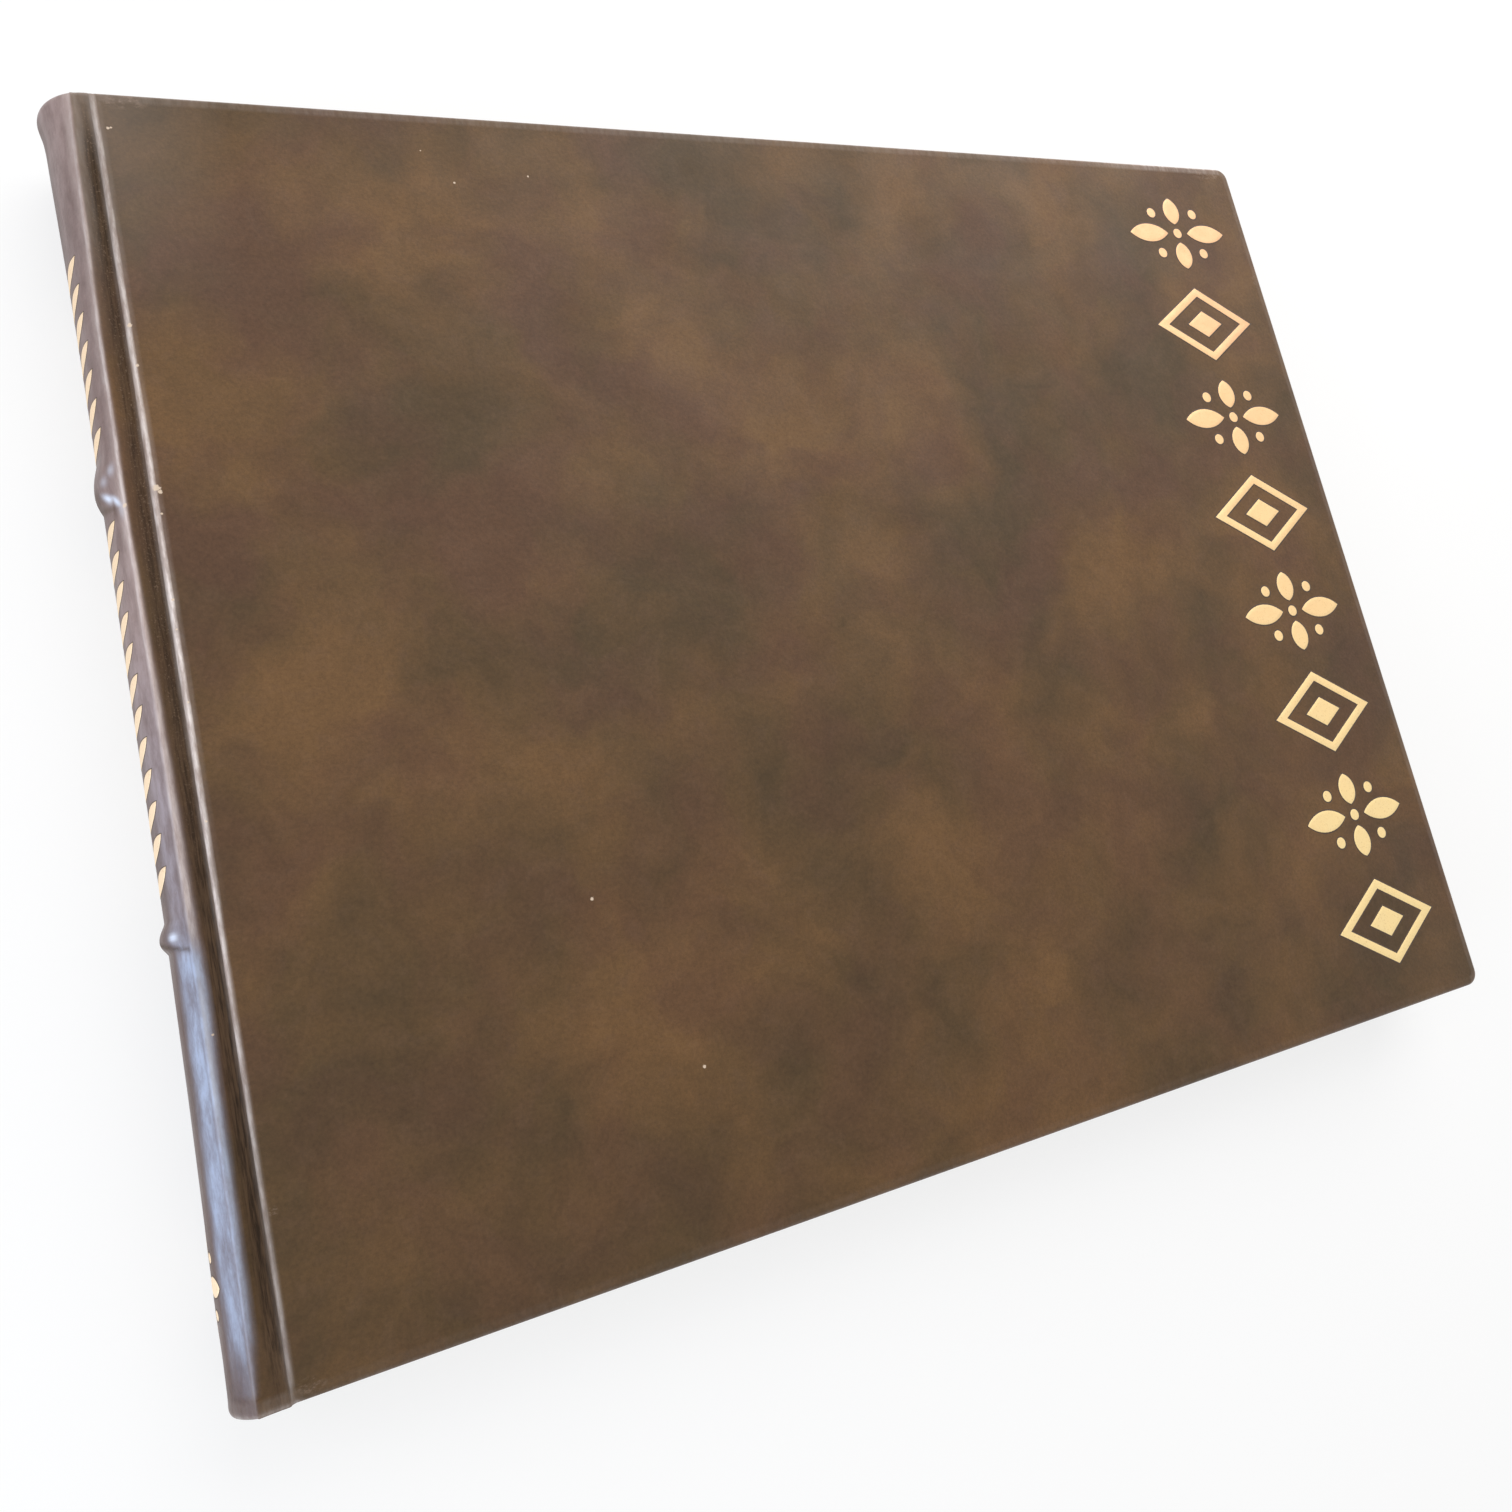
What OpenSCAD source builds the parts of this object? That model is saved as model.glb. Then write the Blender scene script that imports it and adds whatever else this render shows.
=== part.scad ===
// Landscape hardback book bound in leather, lying closed on its back cover.
// All sizes in millimetres. X runs from the spine to the fore edge, Y from tail to head, Z up.
// The origin is the middle of the book's footprint, on the surface it lies on.

/* [Book] */
// Width of a cover, from the joint to the fore edge
cover_w = 291; // [240:1:340]
// Height of a cover, from tail to head
cover_h = 240; // [200:1:300]
// Thickness of the closed book
book_t = 23; // [21:0.5:32]

/* [Covers] */
// Thickness of the leather
leather_t = 0.9; // [0.8:0.05:1.1]
// Thickness of the cover boards
board_t = 2.5; // [2:0.1:3]
// Thickness of the pared leather where it is turned in, and of the mull flange beside it
turn_t = 0.4; // [0.3:0.05:0.6]
// Width of the leather turned in on the inside of a cover
turn_w = 14; // [8:0.5:20]
// Width of the mull flange on the inside of a cover
flange_w = 26; // [18:1:40]
// Rounding of a cover's outer edges
edge_r = 1.3; // [1:0.1:1.6]
// Rounding of a cover's inner edges
inner_r = 0.7; // [0.4:0.1:0.9]
// Rounding of a cover's corners in plan
corner_r = 3.5; // [3:0.25:4.5]
// Corner clipped off a board under the leather
board_clip = 1.8; // [1.2:0.1:2.4]

/* [Text block] */
// Thickness of an endpaper
paper_t = 0.2; // [0.15:0.05:0.3]
// Margin of a cover beyond the leaves at head and tail
square_ht = 3; // [2.5:0.25:5]
// Margin of a cover beyond the leaves at the fore edge
square_fore = 3.5; // [2.5:0.25:6]
// Depth of the hollow in the fore edge
fore_dip = 1.8; // [0.5:0.1:2.4]
// Distance of a shoulder's top from the closed book's face
shoulder_drop = 2.3; // [2.1:0.1:3]

/* [Spine] */
// How far the spine stands out from the covers' joint edge
spine_bulge = 9.1; // [8:0.1:11]
// Distance of a shoulder ridge from the cover's joint edge
ridge_x = 4.1; // [3.8:0.1:5]
// Height of a shoulder ridge below the cover's face
ridge_drop = 0.5; // [0.3:0.1:1]
// Depth of the groove between cover and shoulder
groove_d = 2.05; // [1.6:0.05:2.2]
// Thickness of the spine stiffener
stiffener_t = 0.6; // [0.4:0.1:0.8]
// Thickness of the paper lining on the spine
lining_t = 0.3; // [0.2:0.05:0.4]
// Thickness of the mull on the spine
mull_t = 0.3; // [0.2:0.05:0.4]
// Thickness of the glue between the mull and the leaves
glue_t = 0.1; // [0.05:0.05:0.3]
// Half of the angle the spine's linings cover
lining_angle = 43; // [38:1:45]

/* [Bands and caps] */
// Distance of a raised band from the middle of the spine
band_y = 42; // [30:1:55]
// Width of a raised band under the leather
band_w = 5.4; // [4:0.2:8]
// Width of the leather's swell over a band
swell_w = 7.6; // [6.8:0.2:11]
// How far a band stands out from the spine
band_rise = 0.9; // [0.7:0.1:1.3]
// Length of the flared cap at head and tail
cap_len = 8; // [6:0.5:12]
// Radius of the rolled edge of a cap
cap_r = 1.3; // [1.1:0.1:1.4]
// Radius of the bead of a head or tail band
bead_r = 1; // [0.8:0.1:1.1]

/* [Gilding] */
// Depth of the gilding in the leather
gilt_t = 0.12; // [0.08:0.02:0.2]
// Distance of the gilded strip's middle from the fore edge
strip_x = 26.2; // [24:0.2:40]
// Width of the gilded strip
strip_w = 34; // [24:1:36]
// Distance from one figure to the next along the strip
strip_pitch = 28; // [26:0.5:29]
// Length of a gilded figure along the strip
figure_h = 22; // [16:0.5:23]
// Thickness of the gilded lines
line_w = 2.2; // [1.4:0.1:2.6]
// Length of a flower's long petals
long_petal = 13.6; // [9:0.2:14]
// Length of a flower's short petals
short_petal = 8.2; // [6:0.2:9]
// Width of a flower's petals
petal_w = 5.6; // [3.6:0.2:6]
// Radius of the dots in and around a flower
flower_dot_r = 1.5; // [1:0.1:1.8]
// Length of the inner lozenge as a share of the outer one
inner_share = 0.36; // [0.2:0.02:0.4]
// Length of a leaf on the spine
leaf_l = 8; // [6.6:0.1:8]
// Width of a leaf on the spine
leaf_w = 2.8; // [1.8:0.1:3]
// Slant of a leaf from straight across the spine
leaf_slant = 35; // [28:1:42]
// Distance of a leaf's inner end from the middle of the spine
leaf_gap = 1.6; // [1.3:0.1:1.8]
// Radius of the dot between two leaves
leaf_dot_r = 0.8; // [0.5:0.1:0.9]
// Distance from one pair of leaves to the next
leaf_pitch = 5.8; // [5.4:0.1:6.4]
// Distance from a band's swell to the leaves next to it
leaf_margin = 2; // [1.6:0.1:3]
// Pairs of leaves above the upper band
head_pairs = 7; // [4:1:7]
// Size of the flower at the tail as a share of one on the cover
tail_share = 0.62; // [0.5:0.02:0.64]
// Distance of the flower's middle from the tail
tail_flower_y = 20; // [20:0.5:28]

/* [Hidden] */
$fn = 64;
// outermost reach of the bands and caps
apex = spine_bulge + band_rise;
// middle of the footprint, measured from the covers' joint edge
mid_x = (cover_w - apex) / 2;
mid_y = cover_h / 2;
mid_z = book_t / 2;
// levels on the inside of the front cover, measured down from its face
board_z = leather_t + board_t;
turn_z = board_z + turn_t;
cover_t = turn_z + paper_t;
leaf_z = cover_t + paper_t;
// circle of the spine through the ridges
ridge_h = mid_z - ridge_drop;
sag = spine_bulge - ridge_x;
spine_r = (ridge_h * ridge_h + sag * sag) / (2 * sag);
spine_cx = spine_r - spine_bulge;
ridge_angle = asin(ridge_h / spine_r);
// circle of the bands and caps, which sink into the leather just before the ridges
sink = 0.3;
swell_h = ridge_h - sink;
sag_2 = apex - ridge_x + sink;
swell_r = (swell_h * swell_h + sag_2 * sag_2) / (2 * sag_2);
swell_cx = swell_r - apex;
swell_angle = asin(swell_h / swell_r);
// layers of the spine from outside to inside
lining_r0 = spine_r - leather_t;
lining_r1 = lining_r0 - stiffener_t;
lining_r2 = lining_r1 - lining_t;
block_r = lining_r2 - mull_t - glue_t;
layer_end = square_ht + 0.4;
block_z0 = leaf_z;
block_z1 = book_t - leaf_z;
fore_x = cover_w - square_fore;
fore_r = ((block_z1 - mid_z) * (block_z1 - mid_z) + fore_dip * fore_dip) / (2 * fore_dip);
joint_end = 0.5;
// rows of leaves on the spine: the one between the bands has as many pairs as there is room for
leaf_rise = leaf_l * sin(leaf_slant) + leaf_w / 2;
leaf_room = 2 * band_y - swell_w - 2 * leaf_margin - leaf_rise;
mid_pairs = floor(leaf_room / leaf_pitch) + 1;
mid_row_l = (mid_pairs - 1) * leaf_pitch + leaf_rise;
// points across the groove, from the ridge side to the cover's joint edge
flank_x = -(ridge_x - 0.9);
flank_z = -(ridge_drop + 0.43);
deep_x = -1;
leather_color = [0.43, 0.31, 0.22];
gold_color = [0.86, 0.7, 0.42];
paper_color = [0.93, 0.89, 0.79];
card_color = [0.66, 0.6, 0.5];
cloth_color = [0.9, 0.88, 0.83];

// moves from the joint edge, tail and cover's face to the book's own place
module placed() {
    translate([-mid_x, -mid_y, 0]) children();
}

// the same piece on the back cover
module turned_over() {
    translate([0, 0, book_t]) mirror([0, 0, 1]) children();
}

// a section in X and Z drawn out along Y
module along_y(y0, y1) {
    translate([0, y1, 0]) rotate([90, 0, 0]) linear_extrude(y1 - y0) children();
}

// a section in Y and Z drawn out along X
module along_x(x0, x1) {
    translate([x0, 0, 0]) rotate([90, 0, 90]) linear_extrude(x1 - x0) children();
}

// a profile in radius and Y swept round an axis along Y, centred on the spine side
module swept(cx, half_angle) {
    translate([cx, 0, mid_z])
        rotate([-90, 0, 0])
            rotate([0, 0, 180 - half_angle])
                rotate_extrude(angle = 2 * half_angle) children();
}

module wedge(half_angle) {
    far = 40;
    polygon([
        [0, 0],
        [-far * cos(half_angle), far * sin(half_angle)],
        [-far * 1.5, 0],
        [-far * cos(half_angle), -far * sin(half_angle)]
    ]);
}

module ring_sector(r_out, r_in, half_angle) {
    translate([spine_cx, mid_z]) intersection() {
        difference() {
            circle(r_out);
            circle(r_in);
        }
        wedge(half_angle);
    }
}

// section through a cover whose edges are rounded, hanging down from z = 0
module plate_section(w) {
    translate([edge_r, -turn_z]) square([w - 2 * edge_r, turn_z]);
    translate([inner_r, -turn_z]) square([w - 2 * inner_r, turn_z - edge_r]);
    translate([0, -turn_z + inner_r]) square([w, turn_z - edge_r - inner_r]);
    for (x = [edge_r, w - edge_r]) translate([x, -edge_r]) circle(edge_r);
    for (x = [inner_r, w - inner_r]) translate([x, -turn_z + inner_r]) circle(inner_r);
}

module corner_section() {
    translate([0, -turn_z]) square([corner_r - edge_r, turn_z]);
    translate([0, -turn_z]) square([corner_r - inner_r, turn_z - edge_r]);
    translate([0, -turn_z + inner_r]) square([corner_r, turn_z - edge_r - inner_r]);
    translate([corner_r - edge_r, -edge_r]) circle(edge_r);
    translate([corner_r - inner_r, -turn_z + inner_r]) circle(inner_r);
}

module corner_turn(x, y, start) {
    translate([x, y, book_t]) rotate([0, 0, start]) rotate_extrude(angle = 90) intersection() {
        corner_section();
        translate([0, -turn_z - 1]) square([corner_r + 1, turn_z + 2]);
    }
}

// the whole space a leather-covered board takes up
module cover_plate() {
    along_y(corner_r, cover_h - corner_r) translate([0, book_t]) plate_section(cover_w);
    along_x(corner_r, cover_w - corner_r) translate([0, book_t]) plate_section(cover_h);
    corner_turn(cover_w - corner_r, cover_h - corner_r, 0);
    corner_turn(corner_r, cover_h - corner_r, 90);
    corner_turn(corner_r, corner_r, 180);
    corner_turn(cover_w - corner_r, corner_r, 270);
}

module board_space() {
    x0 = leather_t;
    x1 = cover_w - leather_t;
    y0 = leather_t;
    y1 = cover_h - leather_t;
    c = board_clip;
    translate([0, 0, book_t - board_z]) linear_extrude(board_t) polygon([
        [x0 + c, y0], [x1 - c, y0], [x1, y0 + c], [x1, y1 - c],
        [x1 - c, y1], [x0 + c, y1], [x0, y1 - c], [x0, y0 + c]
    ]);
}

// the inside of a cover that the turned-in leather leaves bare
module turn_in_window() {
    translate([-1, turn_w, book_t - turn_z - 1])
        cube([cover_w - turn_w + 1, cover_h - 2 * turn_w, turn_t + 1]);
}

module cover_leather() {
    difference() {
        cover_plate();
        board_space();
        turn_in_window();
    }
}

module cover_flange() {
    translate([leather_t, turn_w, book_t - turn_z])
        cube([flange_w - leather_t, cover_h - 2 * turn_w, turn_t]);
}

// the pasted endpaper: flat over the turn-ins and the flange, a step lower on the bare board
module cover_pastedown() {
    w = cover_w - turn_w - flange_w;
    h = cover_h - 2 * turn_w;
    difference() {
        union() {
            translate([leather_t, square_ht + 1, book_t - cover_t])
                cube([cover_w - square_fore - 1 - leather_t, cover_h - 2 * square_ht - 2, paper_t]);
            translate([flange_w, turn_w, book_t - cover_t]) cube([w, h, turn_t + paper_t]);
        }
        translate([flange_w + paper_t, turn_w + paper_t, book_t - cover_t - 1])
            cube([w - 2 * paper_t, h - 2 * paper_t, turn_t + 1]);
    }
}

// the leather in the groove beside a cover
module joint_strip() {
    along_y(joint_end, cover_h - joint_end) translate([0, book_t]) polygon([
        [flank_x, flank_z],
        [(flank_x * 0.65 + deep_x * 0.35), flank_z * 0.62 - groove_d * 0.38],
        [(flank_x * 0.35 + deep_x * 0.65), flank_z * 0.28 - groove_d * 0.72],
        [deep_x - 0.35, -groove_d * 0.96],
        [deep_x, -groove_d],
        [deep_x * 0.65, -groove_d * 0.985],
        [deep_x * 0.3, -groove_d * 0.93],
        [0, -groove_d * 0.83],
        [0, -groove_d - leather_t * 0.82],
        [deep_x * 0.3, -groove_d - leather_t * 0.92],
        [deep_x * 0.65, -groove_d - leather_t * 0.98],
        [deep_x, -groove_d - leather_t * 0.99],
        [deep_x - 0.35, -groove_d - leather_t * 0.92],
        [(flank_x * 0.35 + deep_x * 0.65), flank_z * 0.28 - groove_d * 0.72 - leather_t * 1.05],
        [(flank_x * 0.65 + deep_x * 0.35), flank_z * 0.62 - groove_d * 0.38 - leather_t * 1.1],
        [flank_x, flank_z - leather_t * 1.1]
    ]);
}

// a point on the spine's section, by its radius and its angle from the middle
function on_arc(r, a) = [spine_cx - r * cos(a), mid_z + r * sin(a)];

// the leather over a shoulder, from the spine's arc to the groove
module shoulder_leather() {
    a = ridge_angle - 4;
    along_y(joint_end, cover_h - joint_end) polygon([
        on_arc(spine_r - 0.25, a),
        on_arc(spine_r + 0.08, ridge_angle),
        [-ridge_x + 0.22, book_t - ridge_drop + 0.06],
        [-ridge_x + 0.45, book_t - ridge_drop - 0.02],
        [-ridge_x + 0.68, book_t - ridge_drop - 0.2],
        [flank_x, book_t + flank_z],
        [flank_x, book_t + flank_z - leather_t * 1.1],
        on_arc(lining_r0 - 0.15, ridge_angle),
        on_arc(lining_r0 + 0.25, a)
    ]);
}

// a low swell across the spine, as the leather takes over a band
module swell(y, w, r, rise) {
    rc = (w * w / 4 + rise * rise) / (2 * rise);
    swept(swell_cx, swell_angle) intersection() {
        translate([r - rc, y]) circle(rc);
        translate([r - 1.5, y - w]) square([1.6, 2 * w]);
    }
}

// the flared and rolled leather at one end of the spine
module cap() {
    swept(swell_cx, swell_angle) union() {
        translate([swell_r - cap_r, cover_h - cap_r]) circle(cap_r);
        polygon([
            [swell_r - band_rise - 0.6, cover_h - cap_len - 1],
            [swell_r - band_rise - 0.1, cover_h - cap_len],
            [swell_r - band_rise * 0.88, cover_h - cap_len * 0.8],
            [swell_r - band_rise * 0.6, cover_h - cap_len * 0.58],
            [swell_r - band_rise * 0.28, cover_h - cap_len * 0.4],
            [swell_r - band_rise * 0.07, cover_h - cap_len * 0.28],
            [swell_r, cover_h - cap_r],
            [swell_r - 2 * cap_r + 0.1, cover_h - cap_r],
            [swell_r - 2 * cap_r + 0.3, cover_h - layer_end + 0.5],
            [swell_r - 1.5, cover_h - layer_end]
        ]);
    }
}

module at_tail() {
    translate([0, cover_h, 0]) mirror([0, 1, 0]) children();
}

module band_space(y) {
    difference() {
        swell(y, band_w, swell_r - leather_t, band_rise);
        along_y(y - 2 * swell_w, y + 2 * swell_w) translate([spine_cx, mid_z]) circle(lining_r0);
    }
}

module bead() {
    swept(spine_cx, lining_angle - 6) intersection() {
        translate([block_r - bead_r - 0.1, cover_h - square_ht + bead_r * 0.75]) circle(bead_r);
        translate([block_r - 3 * bead_r, cover_h - square_ht]) square([3 * bead_r, 3 * bead_r]);
    }
}

// a petal with two pointed ends, lying along X
module petal(length, w) {
    r = (length * length + w * w) / (4 * w);
    intersection() {
        translate([0, r - w / 2]) circle(r);
        translate([0, w / 2 - r]) circle(r);
    }
}

// one gilded flower: two long and two short petals about a dot, at a share k of its size
module flower(k = 1) {
    for (i = [-1, 1]) {
        translate([k * i * (strip_w - long_petal) / 2, 0]) petal(k * long_petal, k * petal_w);
        translate([0, k * i * (figure_h - short_petal) / 2])
            rotate(90) petal(k * short_petal, k * petal_w);
        for (j = [-1, 1])
            translate([k * i * strip_w * 0.22, k * j * figure_h * 0.28]) circle(k * flower_dot_r);
    }
    circle(k * flower_dot_r);
}

module long_lozenge(x, y) {
    polygon([[-x, 0], [0, -y], [x, 0], [0, y]]);
}

// one gilded lozenge frame with a lozenge inside
module lozenge_frame() {
    x = strip_w / 2;
    y = figure_h / 2;
    shrink = 1 - line_w * sqrt(x * x + y * y) / (x * y);
    difference() {
        long_lozenge(x, y);
        long_lozenge(x * shrink, y * shrink);
    }
    long_lozenge(x * inner_share, y * inner_share);
}

module strip_pattern() {
    for (i = [-3.5 : 2 : 2.5]) translate([0, i * strip_pitch]) lozenge_frame();
    for (i = [-2.5 : 2 : 3.5]) translate([0, i * strip_pitch]) flower();
}

module strip_space() {
    translate([cover_w - strip_x, mid_y, book_t - gilt_t])
        linear_extrude(gilt_t) strip_pattern();
}

// two slanted leaves and the dot between them, growing towards the head
module leaf_pair() {
    circle(leaf_dot_r);
    for (side = [-1, 1]) translate([side * leaf_gap, 0])
        rotate(90 - side * (90 - leaf_slant)) translate([leaf_l / 2, 0]) petal(leaf_l, leaf_w);
}

module leaf_row(n) {
    for (i = [0 : n - 1]) translate([0, i * leaf_pitch]) leaf_pair();
}

// the spine's ornament, drawn on a flat sheet of Z and Y
module spine_pattern() {
    translate([0, leaf_w / 4 - mid_row_l / 2]) leaf_row(mid_pairs);
    translate([0, band_y + swell_w / 2 + leaf_margin]) leaf_row(head_pairs);
    translate([0, tail_flower_y - mid_y]) rotate(90) flower(tail_share);
}

module spine_gilt_space() {
    intersection() {
        along_y(joint_end, cover_h - joint_end)
            ring_sector(spine_r, spine_r - gilt_t, ridge_angle - 10);
        translate([-apex, mid_y, mid_z]) rotate([0, 90, 0]) linear_extrude(apex) spine_pattern();
    }
}

module text_block() {
    color(paper_color) placed() along_y(square_ht, cover_h - square_ht) difference() {
        union() {
            translate([1, block_z0]) square([fore_x - 1, block_z1 - block_z0]);
            intersection() {
                translate([spine_cx, mid_z]) circle(block_r);
                polygon([
                    [-apex - 2, shoulder_drop],
                    [-ridge_x + 1.3, shoulder_drop],
                    [-0.5, block_z0],
                    [2, block_z0],
                    [2, block_z1],
                    [-0.5, block_z1],
                    [-ridge_x + 1.3, book_t - shoulder_drop],
                    [-apex - 2, book_t - shoulder_drop]
                ]);
            }
        }
        translate([fore_x - fore_dip + fore_r, mid_z]) circle(fore_r);
    }
}

module flyleaf() {
    translate([-0.4, square_ht, book_t - leaf_z])
        cube([fore_x + 0.4, cover_h - 2 * square_ht, paper_t]);
}

module front_flyleaf() {
    color(paper_color) placed() flyleaf();
}

module back_flyleaf() {
    color(paper_color) placed() turned_over() flyleaf();
}

module spine_mull() {
    color(cloth_color) placed() along_y(square_ht + 6, cover_h - square_ht - 6)
        ring_sector(lining_r2, lining_r2 - mull_t, lining_angle);
}

module spine_lining() {
    color(card_color) placed() along_y(layer_end, cover_h - layer_end)
        ring_sector(lining_r1, lining_r2, lining_angle);
}

module spine_stiffener() {
    color(card_color) placed() along_y(layer_end, cover_h - layer_end)
        ring_sector(lining_r0, lining_r1, lining_angle);
}

module head_band() {
    color(cloth_color) placed() bead();
}

module tail_band() {
    color(cloth_color) placed() at_tail() bead();
}

module raised_band_upper() {
    color(card_color) placed() band_space(mid_y + band_y);
}

module raised_band_lower() {
    color(card_color) placed() band_space(mid_y - band_y);
}

module spine_leather() {
    color(leather_color) placed() difference() {
        union() {
            difference() {
                union() {
                    along_y(cap_r, cover_h - cap_r) ring_sector(spine_r, lining_r0, ridge_angle);
                    swell(mid_y + band_y, swell_w, swell_r, band_rise + 0.05);
                    swell(mid_y - band_y, swell_w, swell_r, band_rise + 0.05);
                    cap();
                    at_tail() cap();
                }
                along_y(layer_end, cover_h - layer_end) translate([spine_cx, mid_z]) circle(lining_r0);
            }
            shoulder_leather();
            turned_over() shoulder_leather();
        }
        band_space(mid_y + band_y);
        band_space(mid_y - band_y);
        spine_gilt_space();
    }
}

module spine_gilding() {
    color(gold_color) placed() spine_gilt_space();
}

module front_joint_leather() {
    color(leather_color) placed() joint_strip();
}

module back_joint_leather() {
    color(leather_color) placed() turned_over() joint_strip();
}

module front_board() {
    color(card_color) placed() board_space();
}

module front_leather() {
    color(leather_color) placed() difference() {
        cover_leather();
        strip_space();
    }
}

module front_mull_flange() {
    color(cloth_color) placed() cover_flange();
}

module front_pastedown() {
    color(paper_color) placed() cover_pastedown();
}

module front_gilding() {
    color(gold_color) placed() strip_space();
}

module back_board() {
    color(card_color) placed() turned_over() board_space();
}

module back_leather() {
    color(leather_color) placed() turned_over() cover_leather();
}

module back_mull_flange() {
    color(cloth_color) placed() turned_over() cover_flange();
}

module back_pastedown() {
    color(paper_color) placed() turned_over() cover_pastedown();
}

text_block();
front_flyleaf();
back_flyleaf();
spine_mull();
spine_lining();
spine_stiffener();
head_band();
tail_band();
raised_band_upper();
raised_band_lower();
spine_leather();
spine_gilding();
front_joint_leather();
back_joint_leather();
front_board();
front_leather();
front_mull_flange();
front_pastedown();
front_gilding();
back_board();
back_leather();
back_mull_flange();
back_pastedown();
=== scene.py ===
"""Looks for a landscape hardback book bound in mottled brown leather.

Lengths in the tables below are millimetres from the front cover's joint edge (x), its tail (y) and
its face (z, up); place() turns them into the frame's metres.
"""

import math

import bpy
import numpy as np
from mathutils import Matrix, Vector


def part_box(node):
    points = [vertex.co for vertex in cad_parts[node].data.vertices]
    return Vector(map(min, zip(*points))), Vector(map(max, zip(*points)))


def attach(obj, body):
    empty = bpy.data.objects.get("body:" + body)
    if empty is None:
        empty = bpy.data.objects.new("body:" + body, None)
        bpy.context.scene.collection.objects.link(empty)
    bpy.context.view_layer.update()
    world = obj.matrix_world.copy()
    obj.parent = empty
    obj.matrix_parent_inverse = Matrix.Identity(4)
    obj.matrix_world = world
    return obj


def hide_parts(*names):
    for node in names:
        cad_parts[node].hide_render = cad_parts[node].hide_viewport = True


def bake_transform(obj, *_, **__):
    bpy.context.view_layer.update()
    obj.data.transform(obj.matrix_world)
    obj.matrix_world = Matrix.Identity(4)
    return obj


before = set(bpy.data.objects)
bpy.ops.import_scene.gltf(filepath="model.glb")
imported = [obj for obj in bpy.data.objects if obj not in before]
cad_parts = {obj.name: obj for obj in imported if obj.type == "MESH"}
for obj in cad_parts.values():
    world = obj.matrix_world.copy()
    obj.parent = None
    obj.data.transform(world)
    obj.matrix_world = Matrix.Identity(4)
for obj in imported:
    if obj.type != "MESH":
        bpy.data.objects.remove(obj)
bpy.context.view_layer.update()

MM = 0.001
low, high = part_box("front_leather")
COVER_W = (high.x - low.x) / MM
COVER_H = (high.y - low.y) / MM
BOOK_T = high.z / MM
ORIGIN = Vector((low.x, low.y, high.z))
# A cover's thickness with its leather, the radius of its corners, and the ridge's drop below its face.
COVER_T, CORNER, RIDGE_DROP = 3.8, 3.5, 0.5
# Each raised band's middle, its half width toward the tail and toward the head, and its rise.
BANDS = ((162.0, 3.9, 5.6, 1.0), (78.0, 2.5, 3.2, 1.15))


def place(x, y, z):
    """Arrays or numbers in cover millimetres to an (n, 3) array in the frame's metres."""
    x, y, z = np.broadcast_arrays(x, y, z)
    return np.stack([x, y, z], -1).reshape(-1, 3) * MM + np.array(ORIGIN)


def smooth(t):
    """A soft step from 0 to 1."""
    t = np.clip(t, 0, 1)
    return t * t * (3 - 2 * t)


# Materials

# What each vertex says of its place: painted shade and stain, wear and painted highlight, the spine, painted
# sheen, painted glints. Each runs from 0 to 1, and the wear and highlight mark may pass 1.
MARKS = ("stain", "rub", "spine", "bloom", "glint")


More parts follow.
